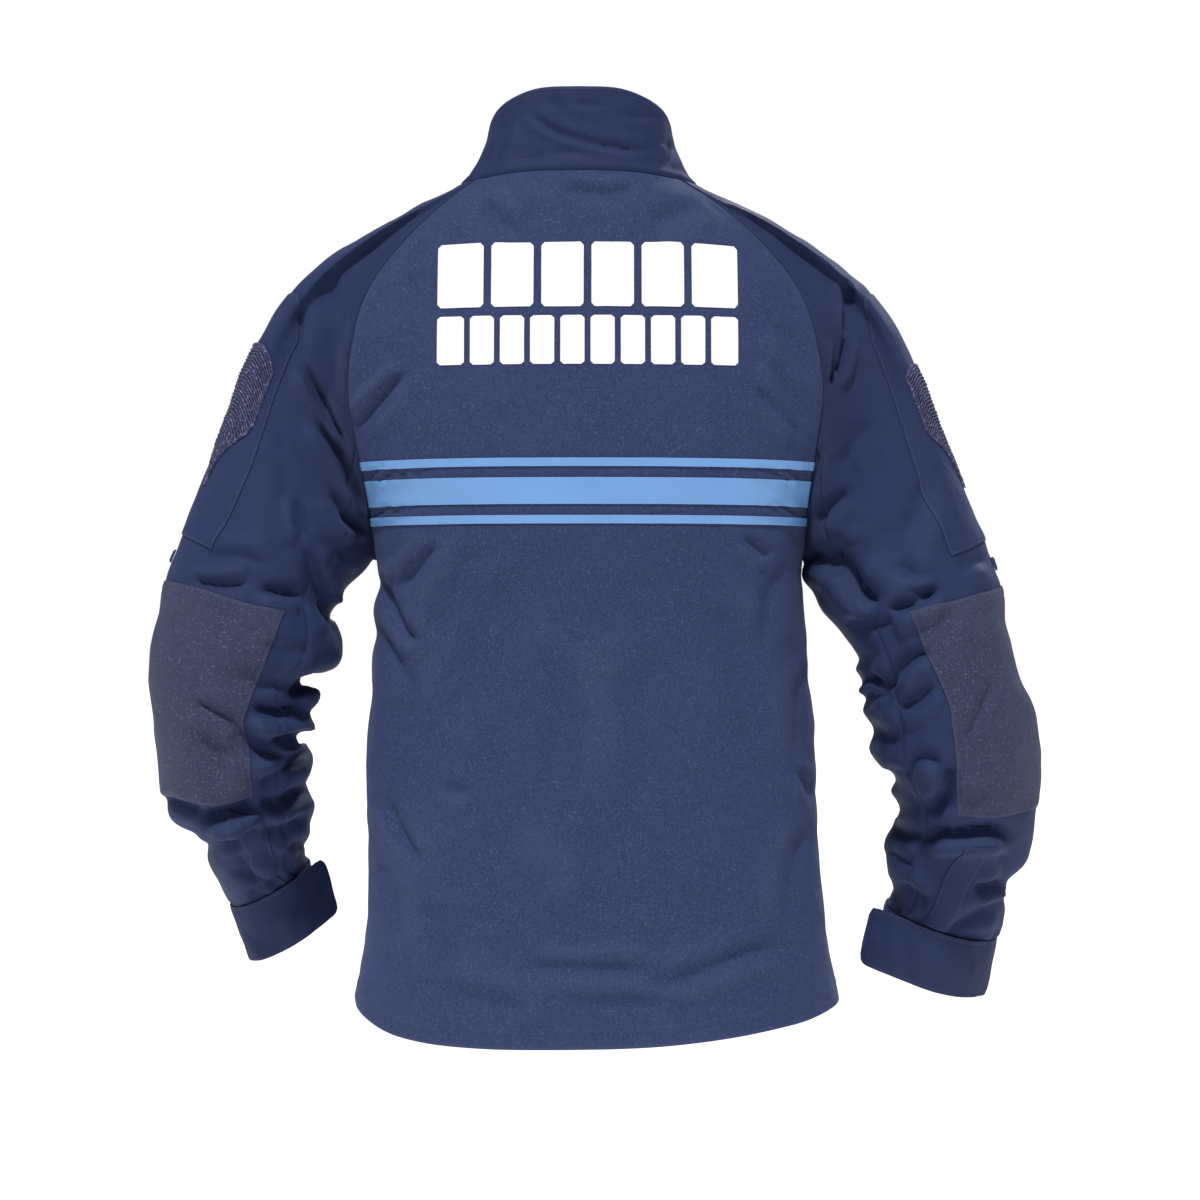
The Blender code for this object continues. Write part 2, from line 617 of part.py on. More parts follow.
def make_sleeve(side):
    way = 1 if side == "left" else -1
    angles = np.arange(FRONT_SEAM - 360, FRONT_SEAM, SLEEVE_STEP)
    rows = sleeve_rows(side)
    points = sleeve(side, angles[None, :], rows[:, None])
    normals = grid_normals(points, closed=True) * way
    points = points - normals * pressed_in(side, angles[None, :] % 360, rows[:, None])[..., None]
    normals = grid_normals(points, closed=True) * way
    _, body_normals = armhole(side, angles)
    agree = smoothstep(((normals[0] * body_normals).sum(-1, keepdims=True) - 0.5) / 0.3)
    normals[0] = unit(agree * body_normals + (1 - agree) * normals[0])
    seam = (BACK_SEAM - angles[0]) // SLEEVE_STEP
    wrapped = lambda grid: np.concatenate([grid[:, seam:], grid[:, :1]], axis=1)
    panel(f"sleeve_top_{side}", points[:, :seam + 1], normals[:, :seam + 1], WOVEN, NAVY_WOVEN)
    panel(f"sleeve_under_{side}", wrapped(points), wrapped(normals), WOVEN, NAVY_WOVEN)

    def sewn_on(name, row_ends, angle_ends, thick, finish, lift=LAID_ON, cut=1, turn=0):
        ends = [(a - angles[0]) / SLEEVE_STEP for a in angle_ends]
        at = np.meshgrid(stops(*np.interp(row_ends, rows, np.arange(len(rows))), cut), stops(*ends, cut),
                         indexing="ij")
        at[1] = at[1] + turn / SLEEVE_STEP * (at[0] - at[0][0]) / (at[0][-1] - at[0][0])
        laid_on(f"{name}_{side}", on_grid(points, *at), on_grid(normals, *at), thick, finish, lift)

    sewn_on("arm_pocket", POCKET["rows"], POCKET["angles"], PATCH, NAVY_WOVEN, 1.5 * LAID_ON)
    sewn_on("elbow_patch", ELBOW_PATCH[side]["rows"], ELBOW_PATCH[side]["angles"], PATCH, NAVY_COARSE, 2 * LAID_ON)
    placket = PLACKET[side]
    sewn_on("placket", placket["rows"], placket["angles"], PATCH, NAVY_WOVEN, 1.5 * LAID_ON if placket["turn"] else LAID_ON,
            2, placket["turn"])
    sewn_on("pocket_tab", POCKET_TAB["rows"], POCKET_TAB["angles"], PATCH, NAVY_WOVEN)
    share = np.linspace(0, 1, 7)[:, None]
    spread = np.linspace(-1, 1, 7)[None, :]
    narrow = 1 - smoothstep((share - SHIELD_TAPER_FROM) / (1 - SHIELD_TAPER_FROM)) * 0.93
    first, last = SHIELD[side]["rows"]
    row = first + (last - first) * share + 0 * spread
    angle = SHIELD[side]["middle"] + SHIELD_HALF_ANGLE * narrow * spread
    at = np.interp(row, rows, np.arange(len(rows))), (angle - angles[0]) / SLEEVE_STEP
    laid_on(f"loop_panel_{side}", on_grid(points, *at), on_grid(normals, *at), HOOK_AND_LOOP, NAVY_LOOP,
            4.9 * LAID_ON + PATCH)


def make_cuff(side):
    last = float(len(SLEEVES[side]))
    start = CUFF_START[side]
    angle = np.append(np.arange(start, start + 360 + CUFF_LAP, CUFF_STEP), start + 360 + CUFF_LAP)
    ring = sleeve(side, angle, last)
    centre = sleeve(side, np.arange(0, 360, 30), last).mean(0)
    axis = unit(np.array(CUFF_WAY[side], float))
    outward = unit(ring - centre)
    lift = CUFF_GROW + CUFF_LIFT * smoothstep((angle - start - 290) / 70)
    ring = ring + outward * lift[:, None]
    run = unit(ring[-1] - ring[-2])
    tab = ring[-1] + run * np.linspace(0, CUFF_TAB[side], 4)[1:, None]
    ring = np.concatenate([ring, tab])
    outward = np.concatenate([outward[:-1], np.repeat(unit(np.cross(run, axis))[None], 4, axis=0)])
    outward[-4:] *= np.sign((outward[-4] * outward[-5]).sum())
    down = axis * np.array([0.7 * MM, CUFF_HEIGHT])[:, None]
    outer = ring[None] + down[:, None]
    shell(f"cuff_{side}", outer, outer - outward[None] * DOUBLED, NAVY_WOVEN)


def main():
    make_back()
    slit_bottom = make_front()
    make_collar()
    make_zip(slit_bottom)
    for side in SLEEVES:
        make_sleeve(side)
        make_cuff(side)


main()
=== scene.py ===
"""How the duty shirt looks: the CAD model's cloth at full resolution, with creases, seams, stitches and materials.

The body and the sleeves are the CAD model's own surfaces. Creases are listed in millimetres, in the
plane y = 0 as it's seen from straight behind or in front, and press the cloth in and out. What is sewn or
pressed on a panel is made from that panel's points, moved out.
"""

import math

import bpy
import numpy as np
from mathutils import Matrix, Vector


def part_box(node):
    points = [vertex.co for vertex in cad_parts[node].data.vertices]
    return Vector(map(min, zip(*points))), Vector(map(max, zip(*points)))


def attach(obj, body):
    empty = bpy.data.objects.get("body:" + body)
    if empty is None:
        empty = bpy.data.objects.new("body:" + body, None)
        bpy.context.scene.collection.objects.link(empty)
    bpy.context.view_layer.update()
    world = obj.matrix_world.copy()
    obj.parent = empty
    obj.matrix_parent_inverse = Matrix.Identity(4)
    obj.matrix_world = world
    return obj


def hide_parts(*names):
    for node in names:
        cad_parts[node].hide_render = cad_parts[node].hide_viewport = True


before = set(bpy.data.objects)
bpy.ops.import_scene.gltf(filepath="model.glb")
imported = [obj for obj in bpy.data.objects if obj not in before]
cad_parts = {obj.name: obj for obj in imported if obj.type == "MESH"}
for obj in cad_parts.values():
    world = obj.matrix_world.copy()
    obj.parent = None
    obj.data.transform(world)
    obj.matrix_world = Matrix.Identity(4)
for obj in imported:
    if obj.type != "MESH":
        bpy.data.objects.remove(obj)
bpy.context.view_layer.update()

MM = 0.001
KNIT, WOVEN, DOUBLED, PATCH, HOOK_AND_LOOP, FILM = (v * MM for v in (1.5, 1.3, 2.4, 1.4, 1.8, 0.4))

TORSO = np.array([
    (25, 78, 66, 50, 5),
    (0, 97, 76, 60, 6),
    (-22, 132, 87, 70, 4),
    (-57, 177, 98, 84, 2),
    (-100, 213, 108, 98, 1),
    (-145, 226, 115, 110, 0),
    (-190, 225, 118, 119, -1),
    (-235, 212, 119, 123, -2),
    (-280, 193, 117, 122, -3),
    (-325, 184, 113, 119, -4),
    (-403, 186, 106, 114, -5),
    (-440, 189, 104, 113, -6),
    (-481, 193, 103, 112, -5),
    (-560, 194, 104, 112, -7),
    (-640, 198, 107, 114, -9),
    (-700, 208, 111, 117, -10),
    (-750, 216, 114, 119, -11),
]) * MM
SQUARENESS = 2.4
UNDERARM_Z = -325 * MM
RAGLAN = {
    "back": [(-325, 90), (-310, 84), (-280, 74), (-235, 64), (-190, 60.5), (-145, 57.5), (-100, 56),
             (-57, 55.5), (-22, 56), (-3, 57)],
    "front": [(-325, 90), (-310, 97), (-285, 107), (-245, 120), (-205, 127), (-160, 131), (-115, 134),
              (-72, 136), (-36, 137.5), (-14, 138.5)],
}
NECKLINE = [(0, 1), (30, 0), (57, -3), (90, -6), (120, -9), (138.5, -14), (152, -31), (166, -62), (180, -78)]
HEM = [(-180, -722), (-130, -718), (-104, -706), (-90, -703), (-74, -706), (-48, -715), (0, -730),
       (48, -725), (75, -709), (90, -703), (104, -709), (130, -718), (180, -722)]
SLEEVES = {
    "left": [
        (337, -277, 199, -341, 0, 76, 0),
        (350, -309, 218, -363, 3, 75, 0),
        (360, -340, 210, -397, 8, 78, 0),
        (365, -375, 215, -417, 12, 77, 0),
        (371, -405, 241, -431, 14, 71, 2),
        (374, -430, 237, -451, 12, 73, 4),
        (370, -458, 249, -484, 9, 66, 8),
        (368, -487, 238, -501, 3, 67, 11),
        (368, -515, 245, -521, -6, 61, 13),
        (363, -534, 239, -544, -16, 60, 15),
        (334, -562, 246, -565, -27, 52, 15),
        (330, -590, 248, -584, -38, 47, 14),
        (314, -628, 246, -591, -50, 42, 12),
    ],
    "right": [
        (334, -282, 196, -349, 0, 76, 0),
        (348, -315, 205, -367, 3, 76, 0),
        (358, -348, 222, -387, 8, 77, 0),
        (364, -390, 239, -413, 12, 74, 0),
        (373, -425, 242, -438, 12, 71, 2),
        (387, -457, 247, -463, 8, 72, 6),
        (392, -492, 252, -500, 2, 68, 10),
        (392, -524, 272, -520, -6, 61, 12),
        (392, -554, 275, -550, -16, 60, 14),
        (387, -580, 264, -576, -26, 55, 15),
        (373, -604, 269, -600, -36, 52, 14),
        (370, -633, 272, -617, -46, 47, 12),
        (366, -657, 268, -629, -55, 45, 10),
    ],
}
TOP_OF_CAP = 30
BACK_SEAM, FRONT_SEAM = 135, 240
POCKET = {"rows": (0.42, 1.8), "angles": (-45, 62)}
POCKET_TAB = {"rows": (2.25, 2.6), "angles": (4, 15)}
SHIELD = {"left": {"rows": (0.6, 0.96), "middle": 24}, "right": {"rows": (0.66, 0.96), "middle": 12}}
SHIELD_HALF_ANGLE, SHIELD_TAPER_FROM = 30, 0.42
# Elbow patches: angles round the sleeve, and the rows of the top and bottom edge at those angles.
ELBOW_PATCH = {
    "left": {"angles": (-30, 115), "at": (-30, 10, 60, 88, 117), "top": (3.15, 3.1, 2.9, 2.8, 2.65),
             "bottom": (9.4, 9.45, 9.05, 9.0, 8.8), "edge": ((2.6, 4.5, 6.3, 7.4, 9.0), (117, 115, 109, 115, 115))},
    "right": {"angles": (-30, 101), "at": (-30, 10, 77, 105), "top": (3.0, 3.0, 2.95, 2.95),
              "bottom": (8.3, 8.3, 8.25, 8.2), "edge": ((2.9, 4.2, 4.7, 5.5, 6.7, 8.3), (104, 104, 99, 96, 97, 105))},
}
PLACKET = {"left": {"rows": (9.4, 12.9), "angles": (92, 118), "turn": 0},
           "right": {"rows": (9, 12.9), "angles": (74, 98), "turn": 18}}
CUFF_HEIGHT = 54 * MM
CUFF_WAY = {"left": (-11, -13, -43), "right": (9, -11, -50)}
CUFF_START = {"left": 106, "right": 98}
CUFF_LAP = 22
CUFF_LIFT = 4.0 * MM
CUFF_TAB = {"left": 36 * MM, "right": 44 * MM}
CUFF_GROW = 1.5 * MM
COLLAR_TOP = [(0, 73), (25, 72), (45, 66), (70, 56), (90, 45), (120, 25), (150, 7), (180, -3)]
COLLAR_PLAN = {"half_width": 79 * MM, "back": 64 * MM, "front": 80 * MM, "back_shift": 5 * MM,
               "front_shift": 2 * MM, "squareness": 2.2}
BANDS = {"back_band_top": (-250, -243), "back_band_middle": (-281, -259), "back_band_bottom": (-297, -290)}
BLOCKS = {"reflective_upper": (-118, -63.5, 6), "reflective_lower": (-166, -125.5, 10)}
BLOCK_REACH = (-127, 121.5)
SLIT = 5.5 * MM
CHAIN = 3.0 * MM
TAPE_WIDTH = 13 * MM
ZIP_BOTTOM = -232 * MM
ZIP_STITCH_FROM_EDGE = 3.0 * MM
CAMERA = (-0.013, 2.2, -0.360)

# Creases: points along each in millimetres, depth, half width, the side its ridge is on (1 is left of the
# way it runs) and how high the ridge is for its depth.
CREASES = {
    "LEFT_SLEEVE": [
     ([(245,-154),(231,-185),(218,-208),(205,-228)], 8, 6, 1, 0.9),
     ([(236,-193),(226,-214),(212,-240),(188,-286)], 9, 8, 1, 0.7),
     ([(231,-208),(219,-226),(208,-234)], 4, 5, 1, 0.6),
     ([(218,-67),(220,-100),(228,-163)], 3.5, 12, -1, 0.5),
     ([(246,-100),(246,-130),(244,-152)], 3, 8, -1, 0.5),
     ([(202,-100),(214,-134),(221,-169),(228,-199)], 3, 14, 1, 0.4),
     ([(268,-208),(262,-247),(261,-282)], 2.5, 9, 1, 0.4),
     ([(251,-270),(247,-290),(244,-312)], 5, 7, 1, 0.8),
     ([(221,-264),(204,-290),(188,-299)], 6, 9, 1, 0.6),
     ([(212,-284),(199,-296),(186,-297)], 5, 6, -1, 0.5),
     ([(334,-325),(315,-322),(290,-325),(275,-334)], 3, 9, -1, 0.6),
     ([(346,-342),(321,-346),(287,-344)], 5, 7, -1, 0.8),
     ([(283,-349),(264,-353),(244,-356)], 6, 8, 1, 0.9),
     ([(242,-312),(235,-338),(223,-365)], 5, 8, -1, 0.6),
     ([(215,-325),(202,-315),(190,-304)], 4, 9, 1, 0.5),
     ([(230,-358),(223,-370),(215,-379)], 9, 8, -1, 0.6),
     ([(280,-394),(256,-407),(231,-403)], 3, 14, 1, 0.4),
     ([(260,-444),(244,-434),(225,-427)], 10, 9, 1, 0.8),
     ([(290,-453),(266,-457),(238,-450)], 11, 9, 1, 0.8),
     ([(303,-466),(289,-483),(273,-492)], 5, 9, -1, 0.6),
     ([(275,-482),(260,-478),(242,-473)], 8, 9, 1, 0.7),
     ([(280,-492),(260,-496),(238,-492)], 5, 8, 1, 0.6),
     ([(244,-496),(260,-507),(284,-524)], 7, 10, 1, 0.8),
     ([(341,-447),(321,-457),(297,-471)], 5, 8, 1, 0.8),
     ([(329,-460),(320,-488),(311,-520)], 2.5, 14, -1, 0.5),
     ([(355,-360),(342,-403),(337,-447)], 2, 20, 1, 0.4),
     ([(339,-549),(312,-544),(283,-533)], 9, 9, 1, 0.9),
     ([(368,-529),(351,-538),(329,-544)], 5, 7, 1, 0.5),
     ([(284,-538),(260,-533),(242,-521)], 8, 9, 1, 0.7),
     ([(280,-564),(260,-557),(243,-544)], 5, 9, 1, 0.6),
     ([(329,-552),(318,-568),(294,-573)], 5, 10, -1, 0.6),
     ([(322,-570),(301,-566),(280,-552)], 4, 7, 1, 0.6),
     ([(303,-577),(289,-596),(273,-606)], 4, 8, 1, 0.6),
     ([(295,-614),(277,-608),(261,-596)], 5, 8, 1, 0.6),
     ([(312,-590),(295,-597),(280,-603)], 3, 8, -1, 0.5),
     ([(259,-577),(251,-570),(244,-577)], 4, 7, 1, 0.5),
    ],
    "RIGHT_SLEEVE": [
     ([(-226,-79),(-228,-108),(-226,-134)], 6, 7, 1, 0.6),
     ([(-226,-131),(-223,-153),(-214,-174)], 7, 5, -1, 0.8),
     ([(-218,-133),(-216,-152),(-214,-173)], 4, 5, 1, 0.6),
     ([(-186,-67),(-192,-100),(-199,-139)], 2, 12, 1, 0.4),
     ([(-249,-204),(-230,-225),(-219,-251)], 3, 11, -1, 0.5),
     ([(-232,-264),(-219,-273),(-199,-296)], 5, 9, -1, 0.7),
     ([(-202,-221),(-199,-243),(-197,-256)], 6, 6, -1, 0.5),
     ([(-231,-226),(-228,-240),(-235,-254)], 2.5, 7, -1, 0.5),
     ([(-295,-247),(-292,-273),(-277,-303),(-264,-329)], 3.5, 16, -1, 0.6),
     ([(-247,-308),(-226,-312),(-218,-299)], 2.5, 9, 1, 0.5),
     ([(-269,-290),(-249,-315),(-225,-325)], 2.5, 12, -1, 0.5),
     ([(-197,-315),(-218,-323),(-237,-349),(-259,-370)], 12, 12, 1, 0.5),
     ([(-186,-318),(-204,-327),(-221,-336)], 8, 10, 1, 0.3),
     ([(-259,-370),(-277,-365),(-295,-358),(-310,-349)], 8, 9, 1, 0.9),
     ([(-277,-351),(-295,-353),(-310,-348)], 4, 6, 1, 0.7),
     ([(-271,-325),(-284,-338),(-303,-342)], 3, 9, 1, 0.6),
     ([(-322,-332),(-338,-325),(-353,-325)], 3, 9, 1, 0.5),
     ([(-225,-375),(-247,-381),(-273,-377)], 4, 10, -1, 0.6),
     ([(-244,-425),(-256,-431),(-269,-438)], 9, 8, 1, 0.7),
     ([(-244,-438),(-256,-443),(-266,-441)], 8, 9, -1, 0.5),
     ([(-264,-438),(-273,-419),(-288,-408),(-303,-405)], 6, 9, 1, 0.8),
     ([(-269,-452),(-286,-447),(-303,-431)], 5, 9, 1, 0.7),
     ([(-245,-466),(-260,-477),(-277,-481)], 3.5, 11, -1, 0.5),
     ([(-277,-503),(-295,-496),(-310,-502)], 5, 8, 1, 0.7),
     ([(-316,-500),(-315,-525),(-296,-544)], 8, 10, 1, 0.6),
     ([(-256,-507),(-273,-512),(-290,-503)], 4, 10, -1, 0.5),
     ([(-264,-552),(-277,-563),(-295,-566)], 5, 10, -1, 0.5),
     ([(-288,-570),(-303,-563),(-325,-561),(-356,-560),(-376,-570)], 9, 9, 1, 0.9),
     ([(-260,-575),(-273,-585),(-286,-590)], 4, 9, 1, 0.6),
     ([(-270,-603),(-284,-615),(-299,-624)], 5, 9, -1, 0.6),
     ([(-336,-612),(-351,-609),(-363,-604)], 6, 6, 1, 0.8),
     ([(-312,-648),(-334,-637),(-355,-624)], 5, 8, 1, 0.7),
     ([(-360,-577),(-365,-594),(-362,-611)], 3, 9, 1, 0.5),
     ([(-347,-624),(-360,-620),(-367,-611)], 3, 7, -1, 0.5),
     ([(-353,-427),(-347,-447),(-338,-468),(-327,-488)], 3, 7, -1, 0.9),
     ([(-325,-394),(-347,-407),(-355,-427)], 2.5, 12, 1, 0.5),
     ([(-360,-360),(-373,-403),(-386,-447)], 2, 16, 1, 0.4),
    ],
    "BACK": [
     ([(153,-158),(178,-185),(202,-212)], 4, 7, 1, 0.7),
     ([(160,-179),(178,-197),(190,-214)], 2, 7, -1, 0.5),
     ([(126,-308),(145,-330),(166,-355)], 3.2, 9, 1, 0.5),
     ([(91,-308),(113,-351),(134,-394)], 2.4, 16, 1, 0.5),
     ([(56,-325),(82,-377),(107,-438),(117,-481)], 2, 22, 1, 0.5),
     ([(179,-336),(169,-363),(157,-386),(140,-401)], 3.5, 8, 1, 0.6),
     ([(179,-377),(164,-412),(143,-447)], 2.5, 12, 1, 0.5),
     ([(173,-531),(162,-559),(141,-590)], 3.2, 9, 1, 0.6),
     ([(124,-519),(112,-525),(98,-523)], 2, 8, 1, 0.5),
     ([(181,-585),(167,-620),(160,-663)], 2.2, 12, -1, 0.5),
     ([(143,-620),(126,-655),(117,-694)], 1.8, 16, 1, 0.5),
     ([(-197,-169),(-182,-143),(-171,-117)], 2, 12, -1, 0.5),
     ([(-192,-221),(-169,-197),(-145,-174)], 2.6, 9, -1, 0.5),
     ([(-197,-212),(-178,-183),(-162,-145)], 2.6, 10, -1, 0.5),
     ([(-139,-304),(-150,-315),(-162,-325)], 2.4, 8, 1, 0.5),
     ([(-178,-325),(-160,-360),(-156,-403)], 2.2, 14, -1, 0.5),
     ([(-100,-360),(-126,-394),(-139,-447),(-141,-499)], 1.8, 22, -1, 0.5),
     ([(-193,-412),(-185,-464),(-186,-507)], 2.2, 12, 1, 0.5),
     ([(-184,-505),(-192,-519),(-197,-533)], 2.0, 7, 1, 0.6),
     ([(-197,-551),(-183,-594),(-178,-646)], 2.4, 14, 1, 0.5),
     ([(57,-675),(22,-680),(-17,-681),(-61,-681)], 2.2, 10, -1, 0.6),
     ([(-41,-692),(-75,-691),(-113,-678),(-147,-666),(-190,-659)], 2.6, 10, 1, 0.6),
     ([(22,-707),(-30,-712),(-91,-708)], 1.8, 12, -1, 0.5),
     ([(134,-694),(91,-707),(48,-715)], 1.8, 14, -1, 0.5),
     ([(91,-13),(74,-30),(56,-41)], 2.2, 12, -1, 0.5),
     ([(22,-1),(-13,-6),(-48,-4)], 2.6, 8, -1, 0.5),
     ([(-100,-13),(-79,-25),(-56,-32)], 2.2, 12, -1, 0.5),
     ([(139,-39),(147,-67),(155,-100)], 1.8, 9, 1, 0.5),
     ([(39,-394),(22,-464),(26,-533)], 1.6, 26, -1, 0.5),
     ([(-56,-394),(-48,-473),(-61,-551)], 1.5, 26, 1, 0.5),
     ([(-4,-551),(-13,-603),(-4,-646)], 1.4, 22, 1, 0.5),
     ([(91,-464),(74,-533),(82,-603)], 1.4, 24, -1, 0.5),
     ([(190,-257),(181,-249),(171,-242)], 1.2, 3.2, 1, 0.8),
     ([(181,-259),(171,-252),(160,-247)], 1.0, 3.2, 1, 0.8),
     ([(169,-257),(159,-252),(148,-247)], 0.8, 3.2, 1, 0.8),
     ([(157,-256),(145,-251),(134,-247)], 0.6, 3.2, 1, 0.8),
     ([(185,-289),(174,-282),(166,-277)], 1.2, 3.2, 1, 0.8),
     ([(173,-287),(162,-282),(152,-277)], 0.9, 3.2, 1, 0.8),
     ([(159,-285),(148,-280),(138,-277)], 0.6, 3.2, 1, 0.8),
     ([(-188,-257),(-178,-249),(-167,-244)], 1.2, 3.2, -1, 0.8),
     ([(-178,-257),(-167,-251),(-155,-244)], 1.1, 3.2, -1, 0.8),
     ([(-166,-256),(-155,-249),(-145,-244)], 0.9, 3.2, -1, 0.8),
     ([(-153,-254),(-143,-249),(-134,-244)], 0.6, 3.2, -1, 0.8),
     ([(-185,-287),(-174,-280),(-164,-275)], 1.2, 3.2, -1, 0.8),
     ([(-173,-285),(-162,-280),(-152,-275)], 1.0, 3.2, -1, 0.8),
     ([(-159,-284),(-148,-278),(-140,-275)], 0.7, 3.2, -1, 0.8),
    ],
    "COLLAR": [
     ([(56,65),(39,55),(22,46),(-13,36),(-65,28)], 2.6, 5, 1, 0.8),
     ([(9,72),(-4,69),(-18,70)], 1.4, 4, 1, 0.6),
     ([(-29,62),(-48,59),(-63,61)], 1.2, 4, 1, 0.6),
     ([(67,56),(72,35),(79,17)], 1.6, 6, -1, 0.5),
     ([(-72,39),(-75,29),(-72,16)], 2.0, 5, 1, 0.5),
     ([(63,18),(35,27),(-4,30)], 1.0, 5, 1, 0.5),
     ([(39,77),(22,67),(16,51)], 0.9, 7, -1, 0.5),
    ],
    "COLLAR_FRONT": [
     ([(-64,-6),(-50,22),(-44,52)], 1.6, 7, 1, 0.5),
     ([(62,-10),(52,18),(50,46)], 1.5, 7, -1, 0.5),
     ([(-40,-30),(-28,-18),(-22,-2)], 1.2, 6, -1, 0.5),
     ([(42,-34),(30,-20),(26,-6)], 1.2, 6, 1, 0.5),
    ],
    "FRONT": [
     ([(150,-300),(120,-262),(84,-236)], 3.4, 9, 1, 0.6),
     ([(168,-330),(134,-300),(96,-290)], 3.0, 10, 1, 0.5),
     ([(162,-362),(130,-345),(104,-352)], 2.6, 11, -1, 0.5),
     ([(-154,-306),(-118,-270),(-78,-250)], 3.2, 10, -1, 0.6),
     ([(-170,-338),(-128,-318),(-92,-316)], 2.6, 9, -1, 0.5),
     ([(-160,-384),(-140,-352),(-112,-336)], 2.2, 12, 1, 0.5),
     ([(12,-246),(30,-300),(36,-362)], 2.2, 15, 1, 0.5),
     ([(-10,-248),(-26,-306),(-24,-380)], 2.0, 17, -1, 0.5),
     ([(120,-420),(96,-500),(104,-590)], 2.2, 20, 1, 0.5),
     ([(64,-400),(52,-470),(66,-540)], 1.6, 22, -1, 0.5),
     ([(-84,-420),(-70,-500),(-82,-600)], 2.0, 22, -1, 0.5),
     ([(-134,-470),(-118,-540),(-130,-620)], 2.0, 16, 1, 0.5),
     ([(0,-560),(-14,-620),(6,-680)], 1.6, 22, 1, 0.5),
     ([(150,-640),(90,-664),(30,-660)], 2.2, 11, -1, 0.6),
     ([(-150,-632),(-100,-656),(-52,-650)], 2.0, 12, 1, 0.6),
     ([(-40,-676),(20,-690),(76,-684)], 1.7, 12, -1, 0.5),
     ([(176,-560),(150,-600),(146,-640)], 2.2, 11, -1, 0.5),
     ([(-182,-520),(-158,-560),(-152,-606)], 2.2, 12, 1, 0.5),
     ([(70,-110),(60,-150),(66,-200)], 1.6, 15, 1, 0.4),
     ([(-64,-116),(-52,-160),(-60,-206)], 1.6, 16, -1, 0.4),
     ([(24,-96),(40,-120),(60,-134)], 1.8, 10, -1, 0.5),
     ([(-22,-94),(-38,-114),(-56,-124)], 1.6, 11, 1, 0.5),
    ],
    "LEFT_FRONT": [
     ([(240,-166),(224,-206),(206,-240)], 7, 8, -1, 0.7),
     ([(226,-210),(208,-250),(188,-282)], 6, 9, -1, 0.6),
     ([(214,-90),(206,-136),(200,-176)], 2.6, 14, 1, 0.5),
     ([(262,-210),(256,-250),(246,-286)], 2.6, 12, -1, 0.5),
     ([(196,-306),(222,-322),(238,-356)], 6, 9, -1, 0.6),
     ([(336,-316),(300,-330),(262,-326)], 4, 9, 1, 0.6),
     ([(352,-352),(320,-366),(286,-360)], 3.4, 10, 1, 0.6),
     ([(228,-392),(262,-398),(300,-388)], 8, 9, -1, 0.8),
     ([(232,-424),(268,-432),(310,-424)], 8, 9, -1, 0.8),
     ([(238,-452),(272,-462),(304,-458)], 7, 8, -1, 0.7),
     ([(242,-480),(276,-496),(318,-494)], 7, 10, -1, 0.8),
     ([(248,-510),(282,-522),(316,-516)], 6, 9, -1, 0.7),
     ([(350,-450),(334,-480),(330,-510)], 3, 14, 1, 0.5),
     ([(366,-528),(330,-544),(290,-540)], 6, 9, 1, 0.7),
     ([(252,-548),(284,-560),(316,-556)], 5, 8, -1, 0.7),
     ([(326,-570),(300,-584),(268,-580)], 4, 8, 1, 0.6),
     ([(318,-604),(294,-606),(264,-596)], 4, 7, 1, 0.6),
    ],
    "RIGHT_FRONT": [
     ([(-240,-160),(-226,-196),(-206,-226)], 6, 8, 1, 0.7),
     ([(-222,-216),(-204,-256),(-186,-290)], 7, 9, 1, 0.6),
     ([(-210,-84),(-200,-128),(-198,-166)], 2.4, 13, -1, 0.5),
     ([(-266,-196),(-262,-240),(-250,-276)], 2.4, 13, 1, 0.5),
     ([(-188,-322),(-216,-330),(-240,-362)], 7, 10, 1, 0.6),
     ([(-336,-330),(-300,-346),(-268,-338)], 4, 9, -1, 0.6),
     ([(-352,-372),(-322,-380),(-290,-370)], 3.4, 10, -1, 0.6),
     ([(-236,-402),(-268,-412),(-308,-402)], 8, 9, 1, 0.8),
     ([(-238,-440),(-276,-446),(-314,-434)], 7, 9, 1, 0.8),
     ([(-246,-472),(-280,-484),(-318,-478)], 7, 9, 1, 0.7),
     ([(-262,-506),(-300,-518),(-334,-510)], 6, 10, 1, 0.8),
     ([(-272,-542),(-304,-550),(-340,-540)], 5, 9, 1, 0.7),
     ([(-374,-470),(-358,-506),(-356,-540)], 3, 14, -1, 0.5),
     ([(-386,-566),(-350,-578),(-312,-568)], 6, 9, -1, 0.7),
     ([(-270,-584),(-304,-596),(-336,-590)], 5, 8, 1, 0.7),
     ([(-366,-610),(-340,-622),(-304,-616)], 4, 8, -1, 0.6),
    ],
}


# ---------------------------------------------------------------- numbers and curves

def through(keys, values, at):
    keys, values = np.asarray(keys, float), np.asarray(values, float)
    if keys[0] > keys[-1]:
        keys, values = keys[::-1], values[::-1]
    slopes = np.gradient(values, keys, axis=0)
    at = np.clip(at, keys[0], keys[-1])
    i = np.clip(np.searchsorted(keys, at) - 1, 0, len(keys) - 2)
    step = keys[i + 1] - keys[i]
    t = (at - keys[i]) / step
    return ((1 + 2 * t) * (1 - t) ** 2 * values[i] + t * (1 - t) ** 2 * step * slopes[i]
            + t * t * (3 - 2 * t) * values[i + 1] + t * t * (t - 1) * step * slopes[i + 1])


def smoothstep(t):
    t = np.clip(t, 0, 1)
    return t * t * (3 - 2 * t)


def unit(v):
    return v / np.maximum(np.linalg.norm(v, axis=-1, keepdims=True), 1e-12)


def points_of(x, y, z):
    return np.stack(np.broadcast_arrays(x, y, z), axis=-1)


# ---------------------------------------------------------------- the CAD model's surfaces

